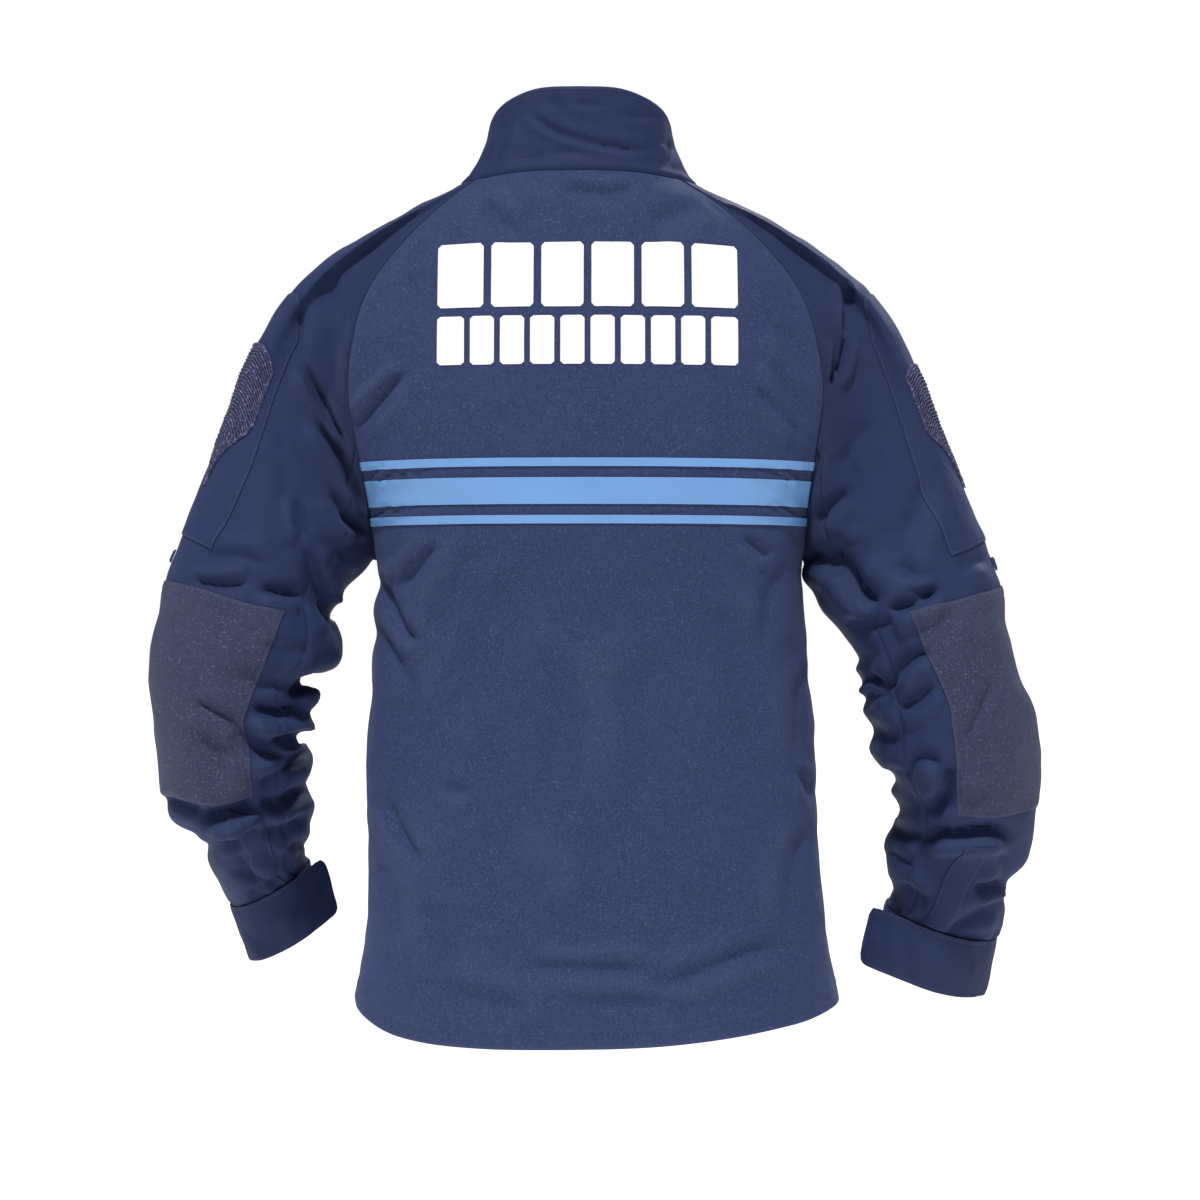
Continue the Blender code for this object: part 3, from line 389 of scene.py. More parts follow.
def torso(z, angle):
    turn = np.radians(angle)
    half, back, front, shift = (through(TORSO[:, 0], TORSO[:, k], z) for k in (1, 2, 3, 4))
    s, c = np.sin(turn), np.cos(turn)
    power = 2 / SQUARENESS
    return points_of(shift + half * np.sign(s) * np.abs(s) ** power,
                     np.where(c >= 0, back, front) * np.sign(c) * np.abs(c) ** power, z)


def torso_normal(z, angle):
    around = torso(z, angle + 0.5) - torso(z, angle - 0.5)
    return unit(np.cross(torso(z + MM, angle) - torso(z - MM, angle), around))


def raglan(face, share):
    heights, angles = np.array(RAGLAN[face], float).T
    z = np.linspace(heights[0], heights[-1], 600) * MM
    angle = through(heights * MM, angles, z)
    along = np.concatenate([[0], np.cumsum(np.linalg.norm(np.diff(torso(z, angle), axis=0), axis=1))])
    return np.interp(share, along / along[-1], z), np.interp(share, along / along[-1], angle)


def neckline_height(angle):
    angles, heights = np.array(NECKLINE, float).T
    return through(angles, heights * MM, np.abs((angle + 180) % 360 - 180))


def hem_height(angle):
    angles, heights = np.array(HEM, float).T
    return through(angles, heights * MM, (angle + 180) % 360 - 180)


def body_grid(face, low, high, spread):
    """Heights and angles of a panel's grid: low and high are its rows' shares below and above the underarm."""
    seam_z, seam_angle = raglan(face, high)
    middle = 0 if face == "back" else 180
    heights, angles = [], []
    for share in low:
        angle = middle + 90 * spread
        side = hem_height(np.sign(spread) * 90)
        heights.append(side + (UNDERARM_Z - side) * share + (1 - share) * (hem_height(angle) - side))
        angles.append(angle)
    for share, z_side, reach in zip(high, seam_z, np.abs(seam_angle - middle)):
        angle = middle + reach * spread
        dip = neckline_height(angle) - neckline_height(middle + reach)
        heights.append(z_side + smoothstep(share) * dip)
        angles.append(angle)
    return np.array(heights), np.array(angles)


def sleeve_rings(side, angle, row):
    table = np.array(SLEEVES[side], float)
    ox, oz, ix, iz, cy, depth, tilt = (through(np.arange(len(table)) + 1.0, table[:, k], row) for k in range(7))
    outer, inner = points_of(ox, cy, oz) * MM, points_of(ix, cy, iz) * MM
    across = (outer - inner) / 2
    tilt = np.radians(tilt)
    back = points_of(0 * tilt, np.cos(tilt), -np.sin(tilt))
    way = unit(across)
    back = unit(back - (back * way).sum(-1, keepdims=True) * way)
    turn = np.radians(angle)[..., None]
    return (outer + inner) / 2 + across * np.cos(turn) + back * np.sin(turn) * (depth * MM)[..., None]


def armhole(side, angle):
    angle = np.asarray(angle, float) % 360
    front = angle > 180
    from_top = np.where(front, 360 - angle, angle)
    share = np.clip((180 - from_top) / (180 - TOP_OF_CAP), 0, 1)
    back_z, back_angle = raglan("back", share)
    front_z, front_angle = raglan("front", share)
    seam_z, seam_angle = np.where(front, front_z, back_z), np.where(front, front_angle, back_angle)
    edge_angle = np.where(front, RAGLAN["front"][-1][1], RAGLAN["back"][-1][1])
    crown = 90 + (edge_angle - 90) * from_top / TOP_OF_CAP
    on_neck = from_top < TOP_OF_CAP
    body_angle = np.where(on_neck, crown, seam_angle)
    z = np.where(on_neck, neckline_height(crown), seam_z)
    if side == "right":
        body_angle = -body_angle
    return torso(z, body_angle), torso_normal(z, body_angle)


def sleeve(side, angle, row):
    angle, row = np.broadcast_arrays(np.asarray(angle, float), np.asarray(row, float))
    mirror = np.array([1 if side == "left" else -1, 1, 1])
    below = sleeve_rings(side, angle, np.maximum(row, 1)) * mirror
    start, normal = armhole(side, angle)
    end = sleeve_rings(side, angle, np.ones_like(row)) * mirror
    leave = unit(sleeve_rings(side, angle, np.full(row.shape, 1.05)) * mirror - end)
    chord = end - start
    length = np.linalg.norm(chord, axis=-1, keepdims=True)
    down = ((1 - np.cos(np.radians(angle))) / 2)[..., None]
    follow = 1 - 0.75 * smoothstep((down - 0.35) / 0.5)
    set_off = unit(chord - follow * (chord * normal).sum(-1, keepdims=True) * normal)
    along = armhole(side, angle + 1)[0] - armhole(side, angle - 1)[0]
    away = unit(np.cross(along, normal)) * mirror[0]
    behind = angle % 360
    turned = 0.6 * smoothstep((behind - 32) / 22) * smoothstep((135 - behind) / 40)
    crown = (0.19 if side == "left" else 0.16) * smoothstep((75 - np.minimum(behind, 360 - behind)) / 50)
    set_off = unit(set_off + turned[..., None] * away + crown[..., None] * np.array([0, 0, 1]))
    reach = (0.57 - 0.21 * down) * length
    arrive = (0.47 - 0.11 * down) * length
    t = np.clip(row, 0, 1)[..., None]
    cap = ((1 - t) ** 3 * start + 3 * t * (1 - t) ** 2 * (start + reach * set_off)
           + 3 * t * t * (1 - t) * (end - arrive * leave) + t ** 3 * end)
    return np.where((row < 1)[..., None], cap, below)


def collar(share, angle):
    angle = np.asarray(angle, float)
    turn = np.radians(angle)
    base = torso(neckline_height(angle), angle)
    angles, heights = np.array(COLLAR_TOP, float).T
    s, c = np.sin(turn), np.cos(turn)
    power = 2 / COLLAR_PLAN["squareness"]
    depth = np.where(c >= 0, COLLAR_PLAN["back"], COLLAR_PLAN["front"])
    shift = (COLLAR_PLAN["back_shift"] * (1 + c) + COLLAR_PLAN["front_shift"] * (1 - c)) / 2
    top = points_of(shift + COLLAR_PLAN["half_width"] * np.sign(s) * np.abs(s) ** power,
                    depth * np.sign(c) * np.abs(c) ** power,
                    through(angles, heights * MM, np.abs((angle + 180) % 360 - 180)))
    flare = 1 + 0.8 * smoothstep((145 - np.abs(angle)) / 60)
    inward = (1 - (1 - share) ** flare)[..., None]
    mixed = base + (top - base) * inward
    mixed[..., 2] = base[..., 2] + (top[..., 2] - base[..., 2]) * share
    return mixed


def front_line(low, high, count):
    """Points up the centre front, the outward directions there and the ways along."""
    seam = neckline_height(180.0)
    body = torso(np.linspace(ZIP_BOTTOM - 30 * MM, seam, 40)[:-1], 180.0)
    line = np.concatenate([body, collar(np.linspace(0, 1, 20), np.full(20, 180.0))])
    z = np.linspace(low, high, count)
    at = points_of(*(np.interp(z, line[:, 2], line[:, k]) for k in (0, 1)), z)
    along = unit(np.gradient(at, axis=0))
    return at, points_of(0 * z, -along[:, 2], along[:, 1]), along


def grid_normals(points, closed=False):
    if closed:
        around = np.roll(points, -1, axis=1) - np.roll(points, 1, axis=1)
    else:
        around = np.gradient(points, axis=1)
    return unit(np.cross(np.gradient(points, axis=0), around))


# ---------------------------------------------------------------- creases

def smooth_line(line, parts=6):
    line = np.array(line, float)
    if len(line) < 3:
        return line
    lengths = np.concatenate([[0], np.cumsum(np.linalg.norm(np.diff(line, axis=0), axis=1))])
    at = np.linspace(0, lengths[-1], parts * (len(line) - 1) + 1)
    return np.stack([through(lengths, line[:, k], at) for k in (0, 1)], axis=1)


def pressed(at, creases):
    """Height of the creased cloth over the flat one, in metres, at places in millimetres."""
    flat = at.reshape(-1, 2)
    total = np.zeros(len(flat))
    for line, deep, half, side, ridge in creases:
        line = smooth_line(line)
        low, high = line.min(0) - 5 * half, line.max(0) + 5 * half
        near = np.flatnonzero(((flat > low) & (flat < high)).all(1))
        if not len(near):
            continue
        p = flat[near]
        steps = np.diff(line, axis=0)
        lengths = np.linalg.norm(steps, axis=1)
        starts = np.concatenate([[0], np.cumsum(lengths)])
        best, across, run = np.full(len(p), 1e9), np.zeros(len(p)), np.zeros(len(p))
        for a, step, length, start in zip(line, steps, lengths, starts):
            way = step / length
            off = p - a
            s = np.clip(off @ way, 0, length)
            distance = np.linalg.norm(off - s[:, None] * way, axis=1)
            closer = distance < best
            best[closer] = distance[closer]
            across[closer] = (way[0] * off[:, 1] - way[1] * off[:, 0])[closer]
            run[closer] = (start + s)[closer]
        share = run / starts[-1]
        envelope = smoothstep(share / 0.24) * smoothstep((1 - share) / 0.24)
        signed = np.sign(across) * best * side
        profile = (ridge * np.exp(-((signed - 1.35 * half) / (0.85 * half)) ** 2)
                   + 0.35 * ridge * np.exp(-((signed + 1.6 * half) / (1.1 * half)) ** 2)
                   - np.exp(-(np.abs(signed) / (0.58 * half)) ** 1.6))
        total[near] += deep * envelope * profile
    return total.reshape(at.shape[:-1]) * MM


def rumple(points, size, terms=18, seed=0):
    """Soft unevenness about 1 high and size metres across."""
    random = np.random.default_rng(100 + seed)
    total = np.zeros(points.shape[:-1])
    for _ in range(terms):
        way = unit(random.normal(size=3)) * (2 * np.pi / (size * random.uniform(0.7, 1.8)))
        total += np.sin(points @ way + random.uniform(0, 2 * np.pi))
    return total / math.sqrt(terms)


def from_behind(points):
    """Where the camera sees points, in millimetres in the plane y = 0."""
    far = (CAMERA[1] - points[..., 1]) / CAMERA[1]
    x, z = CAMERA[0] * 1000, CAMERA[2] * 1000
    return np.stack([x + (points[..., 0] * 1000 - x) / far, z + (points[..., 2] * 1000 - z) / far], axis=-1)


def from_front(points):
    return points[..., [0, 2]] * 1000


def relief(points, normals, behind, before, uneven, strong=1.0):
    back = smoothstep((normals[..., 1] + 0.45) / 0.6)
    front = smoothstep((0.45 - normals[..., 1]) / 0.6)
    return (strong * (back * pressed(from_behind(points), CREASES[behind])
                      + front * pressed(from_front(points), CREASES[before]))
            + uneven * MM * (0.65 * rumple(points, 0.07, seed=1) + 0.35 * rumple(points, 0.03, seed=2)))


def arc(points, axis):
    """Lengths along a grid's lines from their first point."""
    steps = np.linalg.norm(np.diff(points, axis=axis), axis=-1)
    pad = [(0, 0), (0, 0)]
    pad[axis] = (1, 0)
    return np.pad(np.cumsum(steps, axis=axis), pad)


def groove(distance, deep=1.2, puff=0.5):
    d = distance / MM
    return MM * (puff * np.exp(-((d - 5) / 3.2) ** 2) - deep * np.exp(-(d / 1.7) ** 2))


def close_to_edges(start, end, step, fine):
    """Stops from start to end, close together at both ends. fine holds the distances of the extra stops."""
    middle = np.linspace(start, end, max(2, int(round((end - start) / step)) + 1))
    extra = np.concatenate([start + fine, end - fine])
    return np.unique(np.round(np.concatenate([middle, extra]), 9))


# ---------------------------------------------------------------- meshes

def sheet_mesh(name, outer, inner, uv, material, keep=None, flip=False, closed=False, marks=None, soft=60):
    """A closed wall between two grids of points, with texture places in metres."""
    rows, columns = outer.shape[:2]
    number = np.arange(rows * columns).reshape(rows, columns)
    if closed:
        number = np.concatenate([number, number[:, :1]], axis=1)
    quads = np.stack([number[:-1, :-1], number[1:, :-1], number[1:, 1:], number[:-1, 1:]], axis=-1)
    quads = quads[np.ones(quads.shape[:2], bool) if keep is None else keep].reshape(-1, 4)
    if flip:
        quads = quads[:, ::-1]
    edges = np.concatenate([quads[:, [k, (k + 1) % 4]] for k in range(4)])
    key = edges[:, 0] * (rows * columns) + edges[:, 1]
    back = edges[:, 1] * (rows * columns) + edges[:, 0]
    rim = edges[~np.isin(key, back)]
    count = rows * columns
    sides = np.stack([rim[:, 1], rim[:, 0], rim[:, 0] + count, rim[:, 1] + count], axis=1)
    faces = np.concatenate([quads, quads[:, ::-1] + count, sides])
    points = np.concatenate([outer.reshape(-1, 3), inner.reshape(-1, 3)])
    used = np.zeros(len(points), bool)
    used[faces.ravel()] = True
    renumber = np.cumsum(used) - 1
    faces, points = renumber[faces], points[used]
    mesh = bpy.data.meshes.new(name)
    mesh.vertices.add(len(points))
    mesh.vertices.foreach_set("co", points.astype(np.float32).ravel())
    mesh.loops.add(faces.size)
    mesh.loops.foreach_set("vertex_index", faces.astype(np.int32).ravel())
    mesh.polygons.add(len(faces))
    mesh.polygons.foreach_set("loop_start", np.arange(0, faces.size, 4, dtype=np.int32))
    mesh.update(calc_edges=True)
    place = np.concatenate([uv.reshape(-1, 2)] * 2)[used]
    mesh.uv_layers.new(name="cut").data.foreach_set("uv", place[faces.ravel()].astype(np.float32).ravel())
    for mark, values in (marks or {}).items():
        values = np.concatenate([np.broadcast_to(values, (rows, columns)).ravel()] * 2)[used]
        mesh.attributes.new(mark, "FLOAT", "POINT").data.foreach_set("value", values.astype(np.float32))
    mesh.shade_smooth()
    mesh.set_sharp_from_angle(angle=math.radians(soft))
    mesh.validate()
    made = bpy.data.objects.new("cloth_" + name, mesh)
    bpy.context.scene.collection.objects.link(made)
    mesh.materials.append(material)
    return made


def uv_of(points):
    """Texture places: lengths across from the middle column and mean lengths down."""
    across = arc(points, 1)
    across = across - across[:, across.shape[1] // 2][:, None]
    down = arc(points, 0)
    return np.stack([across, np.broadcast_to(down.mean(1, keepdims=True), across.shape)], axis=-1)


def on_grid(grid, rows, columns):
    """Points at fractional rows and columns of a fine grid."""
    rows, columns = np.broadcast_arrays(np.asarray(rows, float), np.asarray(columns, float))
    i = np.clip(np.floor(rows).astype(int), 0, grid.shape[0] - 2)
    j = np.clip(np.floor(columns).astype(int), 0, grid.shape[1] - 2)
    u, v = (rows - i)[..., None], (columns - j)[..., None]
    return ((grid[i, j] * (1 - v) + grid[i, j + 1] * v) * (1 - u)
            + (grid[i + 1, j] * (1 - v) + grid[i + 1, j + 1] * v) * u)


def area_of(points):
    a, b = points[1:, 1:] - points[:-1, :-1], points[1:, :-1] - points[:-1, 1:]
    return float(np.linalg.norm(np.cross(a, b), axis=-1).sum() / 2)


CUTS = {}


def cut_size(name, points):
    """The flat size of a piece: its widest and longest lines, and its area."""
    width, length = float(arc(points, 1)[:, -1].max()), float(arc(points, 0)[-1].max())
    CUTS[name] = (width, length, min(area_of(points), width * length))


def hold(obj):
    width, length, area = CUTS[obj.name.removeprefix("cloth_")]
    width, length = round(max(width, 0.01), 4), round(max(length, 0.01), 4)


def finish_piece(obj, nodes, body="shirt"):
    if nodes:
        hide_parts(*nodes)
    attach(obj, body)


STITCHES = {}


def stitch_line(group, points, normals, pitch=2.7, length=2.1, half=0.26, lift=0.16):
    """Adds a row of stitches along a line on the cloth. Sizes in millimetres."""
    along = np.concatenate([[0], np.cumsum(np.linalg.norm(np.diff(points, axis=0), axis=1))])
    if along[-1] < 3 * pitch * MM:
        return
    count = int(along[-1] / (pitch * MM))
    at = (np.arange(count) + 0.5) * along[-1] / count
    spot = lambda s: np.stack([np.interp(s, along, points[:, k]) for k in range(3)], axis=1)
    normal = unit(np.stack([np.interp(at, along, normals[:, k]) for k in range(3)], axis=1))
    middle, tail, head = spot(at), spot(at - length / 2 * MM), spot(at + length / 2 * MM)
    side = unit(np.cross(normal, head - tail)) * half * MM
    up = normal * lift * MM
    low = normal * 0.25 * MM
    STITCHES.setdefault(group, []).append(np.stack([
        tail - low, (tail + middle) / 2 + side + up * 0.6, (tail + middle) / 2 - side + up * 0.6,
        (head + middle) / 2 + side + up * 0.6, (head + middle) / 2 - side + up * 0.6, head - low,
        middle + up * 2.2 + side * 0, middle - low], axis=1))


STITCH_FACES = np.array([(0, 1, 6), (0, 6, 2), (1, 3, 6), (3, 5, 6), (5, 4, 6), (4, 2, 6),
                         (0, 7, 1), (0, 2, 7), (1, 7, 3), (3, 7, 5), (5, 7, 4), (4, 7, 2)])


def sew(group, material, nodes=()):
    stitches = np.concatenate(STITCHES[group])
    faces = (STITCH_FACES[None] + np.arange(len(stitches))[:, None, None] * 8).reshape(-1, 3)
    mesh = bpy.data.meshes.new(group)
    mesh.from_pydata(stitches.reshape(-1, 3).tolist(), [], faces.tolist())
    mesh.shade_smooth()
    made = bpy.data.objects.new(group, mesh)
    bpy.context.scene.collection.objects.link(made)
    mesh.materials.append(material)
    finish_piece(made, nodes)
    return made


def inside_edge(points, normals, distance, sides="tblr"):
    """Lines at a distance inside a grid's edges: top is row 0, left is column 0."""
    across, down = arc(points, 1), arc(points, 0)
    made = []
    for side in sides:
        rows_first = side in "tb"
        lengths = down if rows_first else across.T
        other = across if rows_first else down.T
        grid = points if rows_first else np.swapaxes(points, 0, 1)
        facing = normals if rows_first else np.swapaxes(normals, 0, 1)
        line, ways = [], []
        for j in range(grid.shape[1]):
            s = lengths[:, j]
            at = distance if side in "tl" else s[-1] - distance
            if at <= 0 or at >= s[-1]:
                continue
            i = float(np.interp(at, s, np.arange(len(s))))
            beside = other[int(round(i))]
            if beside[j] < distance * 0.98 or beside[-1] - beside[j] < distance * 0.98:
                continue
            line.append([np.interp(i, np.arange(len(s)), grid[:, j, k]) for k in range(3)])
            ways.append(facing[int(round(i)), j])
        if len(line) > 3:
            made.append((np.array(line), np.array(ways)))
    return made


# ---------------------------------------------------------------- materials

class Nodes:
    """A short way to write a material's nodes."""

    def __init__(self, name, roughness, sheen=0.0, sheen_tint=(1, 1, 1), specular=0.35, metallic=0.0):
        self.material = bpy.data.materials.new(name)
        self.material.use_nodes = True
        self.tree = self.material.node_tree
        self.shader = self.tree.nodes["Principled BSDF"]
        self.set("Roughness", roughness)
        self.set("Specular IOR Level", specular)
        self.set("Metallic", metallic)
        if sheen:
            self.set("Sheen Weight", sheen)
            self.set("Sheen Roughness", 0.45)
            self.set("Sheen Tint", (*sheen_tint, 1))
        self.uv = self.node("ShaderNodeUVMap").outputs["UV"]
        self.tree.nodes["UV Map"].uv_map = "cut"
        self.place = self.node("ShaderNodeTexCoord").outputs["Object"]

    def node(self, kind, **values):
        made = self.tree.nodes.new(kind)
        for key, value in values.items():
            setattr(made, key, value)
        return made

    def set(self, socket, value):
        self.shader.inputs[socket].default_value = value

    def link(self, a, b):
        self.tree.links.new(a, b)

    def value(self, socket, given):
        if isinstance(given, bpy.types.NodeSocket):
            self.link(given, socket)
        else:
            socket.default_value = given

    def math(self, operation, a, b=0.0, clamp=False):
        made = self.node("ShaderNodeMath", operation=operation, use_clamp=clamp)
        self.value(made.inputs[0], a)
        self.value(made.inputs[1], b)
        return made.outputs[0]

    def noise(self, scale, detail=2.0, place=None, roughness=0.5):
        made = self.node("ShaderNodeTexNoise")
        self.link(place or self.place, made.inputs["Vector"])
        made.inputs["Scale"].default_value = scale
        made.inputs["Detail"].default_value = detail
        made.inputs["Roughness"].default_value = roughness
        return made.outputs["Fac"]

    def stretched(self, scale, turn=0.0):
        made = self.node("ShaderNodeMapping")
        self.link(self.uv, made.inputs["Vector"])
        made.inputs["Scale"].default_value = (*scale, 1)
        made.inputs["Rotation"].default_value = (0, 0, turn)
        return made.outputs["Vector"]

    def wave(self, pitch, turn=0.0, distortion=0.0):
        """Ridges at a pitch in metres across the cut, turned by an angle."""
        made = self.node("ShaderNodeTexWave", wave_type="BANDS", bands_direction="X", wave_profile="SIN")
        self.link(self.stretched((1, 1), turn), made.inputs["Vector"])
        made.inputs["Scale"].default_value = 2 * math.pi / (20 * pitch)
        made.inputs["Distortion"].default_value = distortion
        made.inputs["Detail"].default_value = 1.0
        made.inputs["Detail Scale"].default_value = 0.6
        return made.outputs["Fac"]

    def spread(self, value, low, high, out_low=0.0, out_high=1.0):
        made = self.node("ShaderNodeMapRange", interpolation_type="SMOOTHSTEP")
        self.value(made.inputs["Value"], value)
        for name, given in (("From Min", low), ("From Max", high), ("To Min", out_low), ("To Max", out_high)):
            made.inputs[name].default_value = given
        return made.outputs["Result"]

    def mix(self, share, a, b):
        made = self.node("ShaderNodeMix", data_type="RGBA")
        self.value(made.inputs["Factor"], share)
        self.value(made.inputs["A"], a if isinstance(a, bpy.types.NodeSocket) else (*a, 1))
        self.value(made.inputs["B"], b if isinstance(b, bpy.types.NodeSocket) else (*b, 1))
        return made.outputs["Result"]

    def mark(self, name):
        return self.node("ShaderNodeAttribute", attribute_name=name).outputs["Fac"]

    def colour(self, socket):
        self.link(socket, self.shader.inputs["Base Color"])

    def rough(self, value, low, high):
        self.link(self.spread(value, 0.3, 0.7, low, high), self.shader.inputs["Roughness"])

    def bump(self, *layers):
        """Layers of height: a value and its depth in metres."""
        normal = None
        for height, depth in layers:
            made = self.node("ShaderNodeBump")
            made.inputs["Strength"].default_value = 1.0
            made.inputs["Distance"].default_value = depth
            self.link(height, made.inputs["Height"])
            if normal is not None:
                self.link(normal, made.inputs["Normal"])
            normal = made.outputs["Normal"]
        self.link(normal, self.shader.inputs["Normal"])


def tone(colour, factor):
    return tuple(min(1.0, c * factor) for c in colour)


def knit():
    m = Nodes("navy_knit", 0.82, sheen=0.10, sheen_tint=(0.45, 0.58, 1.0), specular=0.22)
    base = (0.0265, 0.040, 0.108)
    speckle = m.noise(850, 3.0, roughness=0.7)
    dots = m.spread(m.noise(420, 1.0), 0.60, 0.74)
    broad = m.noise(9, 3.0)
    stripes = m.noise(1.0, 2.0, m.stretched((900, 60)))
    colour = m.mix(m.spread(speckle, 0.30, 0.72), tone(base, 0.55), tone(base, 1.6))
    colour = m.mix(m.math("MULTIPLY", dots, 0.42), colour, (0.105, 0.105, 0.200))
    colour = m.mix(m.spread(stripes, 0.35, 0.75, 0.0, 0.22), colour, tone(base, 1.7))
    colour = m.mix(m.spread(broad, 0.3, 0.75, 0.0, 0.30), colour, tone(base, 1.30))
    # Lighter at worn edges, and as a painted highlight on the crease ridges, both from the mark.
    m.colour(m.mix(m.math("MULTIPLY", m.mark("wear_and_ridge_highlight"), 0.30), colour, (0.085, 0.100, 0.190)))
    wales, courses = m.wave(0.00105, 0.0, 0.4), m.wave(0.00075, math.pi / 2, 0.6)
    m.bump((m.math("MULTIPLY", wales, courses), 0.00016), (speckle, 0.00022), (m.noise(90, 2.0), 0.0006))
    m.rough(speckle, 0.74, 0.9)
    return m.material


def twill(name, base, sheen=0.07, cloth=1.0):
    m = Nodes(name, 0.7, sheen=sheen, sheen_tint=(0.45, 0.58, 1.0), specular=0.22)
    grain = m.noise(1100, 2.0, roughness=0.6)
    broad = m.noise(14, 4.0, roughness=0.6)
    ribs = m.wave(0.0009, math.radians(62), 0.5)
    slubs = m.noise(1.0, 2.0, m.stretched((60, 700)))
    colour = m.mix(m.spread(grain, 0.3, 0.75), tone(base, 0.82), tone(base, 1.28))
    colour = m.mix(m.math("MULTIPLY", ribs, 0.20), colour, tone(base, 1.5))
    colour = m.mix(m.spread(slubs, 0.45, 0.8, 0.0, 0.25), colour, tone(base, 1.5))
    colour = m.mix(m.spread(broad, 0.35, 0.75, 0.0, 0.35), colour, tone(base, 1.30))
    # Lighter at worn edges, and as a painted highlight on the crease ridges of the sleeves and collar.
    m.colour(m.mix(m.math("MULTIPLY", m.mark("wear_and_ridge_highlight"), 0.25), colour, (0.055, 0.075, 0.160)))
    m.bump((ribs, 0.00012 * cloth), (grain, 0.00012), (m.noise(60, 3.0, roughness=0.6), 0.0011 * cloth))
    m.rough(broad, 0.62, 0.78)
    return m.material


def coarse():
    m = Nodes("navy_coarse", 0.68, sheen=0.06, sheen_tint=(0.6, 0.68, 0.95), specular=0.28)
    base = (0.0270, 0.0340, 0.0800)
    over, under = m.wave(0.0017, 0.0, 0.7), m.wave(0.0017, math.pi / 2, 0.7)
    weave = m.math("ABSOLUTE", m.math("SUBTRACT", over, under))
    grain = m.noise(650, 2.0, roughness=0.75)
    sparks = m.spread(m.noise(480, 1.0), 0.58, 0.72)
    colour = m.mix(m.spread(grain, 0.3, 0.7), tone(base, 0.62), tone(base, 1.55))
    colour = m.mix(m.math("MULTIPLY", weave, 0.35), colour, tone(base, 1.5))
    colour = m.mix(m.math("MULTIPLY", sparks, 0.5), colour, (0.15, 0.155, 0.25))
    colour = m.mix(m.spread(m.noise(16, 3.0), 0.35, 0.7, 0.0, 0.3), colour, tone(base, 1.5))
    m.colour(m.mix(m.math("MULTIPLY", m.mark("wear_and_ridge_highlight"), 0.4), colour, (0.085, 0.095, 0.165)))
    m.bump((weave, 0.00035), (grain, 0.0004), (m.noise(70, 2.0), 0.0007))
    m.rough(grain, 0.5, 0.74)
    return m.material


def loop():
    m = Nodes("navy_loop", 0.9, sheen=0.12, sheen_tint=(0.7, 0.72, 1.0), specular=0.15)
    fuzz = m.noise(900, 3.0, roughness=0.8)
    tufts = m.noise(330, 2.0)
    # Painted shade: near black in the troughs between the rows of loops. Painted highlight: lilac tufts on the row
    # tops.
    colour = m.mix(m.spread(m.mark("rib_shade_and_highlight"), 0.2, 0.95), (0.003, 0.004, 0.018), (0.050, 0.058, 0.140))
    colour = m.mix(m.math("MULTIPLY", m.spread(tufts, 0.5, 0.72), m.mark("rib_shade_and_highlight")), colour, (0.26, 0.24, 0.44))
    m.colour(m.mix(m.spread(fuzz, 0.35, 0.75, 0.0, 0.4), colour, (0.10, 0.10, 0.22)))
    m.bump((fuzz, 0.0009), (tufts, 0.0008))
    return m.material


def band():
    m = Nodes("sky_blue", 0.42, specular=0.45)
    base = (0.150, 0.320, 0.640)
    soft = m.noise(7, 3.0)
    fine = m.noise(1000, 2.0)
    colour = m.mix(m.spread(soft, 0.3, 0.75), tone(base, 0.90), tone(base, 1.10))
    m.colour(m.mix(m.spread(fine, 0.35, 0.7, 0.0, 0.18), colour, tone(base, 1.25)))
    m.bump((m.wave(0.00105, 0.0, 0.4), 0.00003), (m.noise(70, 2.0), 0.0004))
    m.rough(soft, 0.36, 0.5)
    return m.material


def white():
    m = Nodes("white_reflective", 0.32, specular=0.6)
    beads = m.noise(1600, 1.0)
    soft = m.noise(10, 2.0)
    colour = m.mix(m.spread(beads, 0.3, 0.7), (0.84, 0.85, 0.86), (0.97, 0.975, 0.98))
    m.colour(m.mix(m.spread(soft, 0.35, 0.75, 0.0, 0.25), colour, (0.90, 0.91, 0.93)))
    m.bump((beads, 0.00006), (m.noise(60, 2.0), 0.0003))
    m.rough(beads, 0.25, 0.45)
    return m.material


def tape():
    m = Nodes("zip_tape", 0.7, specular=0.3)
    ribs = m.wave(0.0008, 0.0, 0.2)
    m.colour(m.mix(ribs, (0.008, 0.012, 0.030), (0.022, 0.030, 0.070)))
    m.bump((ribs, 0.00022), (m.noise(900, 2.0), 0.0001))
    return m.material


def metal(name, colour, roughness):
    m = Nodes(name, roughness, specular=0.5, metallic=1.0)
    grain = m.noise(700, 3.0)
    scuffs = m.spread(m.noise(160, 4.0, roughness=0.7), 0.5, 0.7)
    m.colour(m.mix(m.math("MULTIPLY", scuffs, 0.4), colour, tone(colour, 2.4)))
    m.bump((grain, 0.00004))
    m.rough(grain, roughness - 0.08, roughness + 0.12)
    return m.material


def thread():
    m = Nodes("navy_thread", 0.5, specular=0.4)
    twist = m.noise(1500, 2.0)
    m.colour(m.mix(m.spread(twist, 0.3, 0.7), (0.028, 0.036, 0.085), (0.085, 0.100, 0.185)))
    m.bump((twist, 0.00008))
    return m.material


NAVY_WOVEN = (0.0150, 0.0255, 0.0820)
CLOTH = {
    "knit": knit(), "woven": twill("navy_woven", NAVY_WOVEN),
    "doubled": twill("navy_doubled", tone(NAVY_WOVEN, 0.92), sheen=0.06), "coarse": coarse(), "loop": loop(),
    "band": band(), "white": white(), "tape": tape(), "thread": thread(),
    "metal": metal("zip_metal", (0.060, 0.063, 0.075), 0.34), "teeth": metal("zip_teeth", (0.042, 0.045, 0.060), 0.42),
}


# ---------------------------------------------------------------- the body

FINE = np.array([1.2, 2.4, 4.0, 6.0, 8.5, 11.5, 15.0, 18.5, 22.0]) * MM


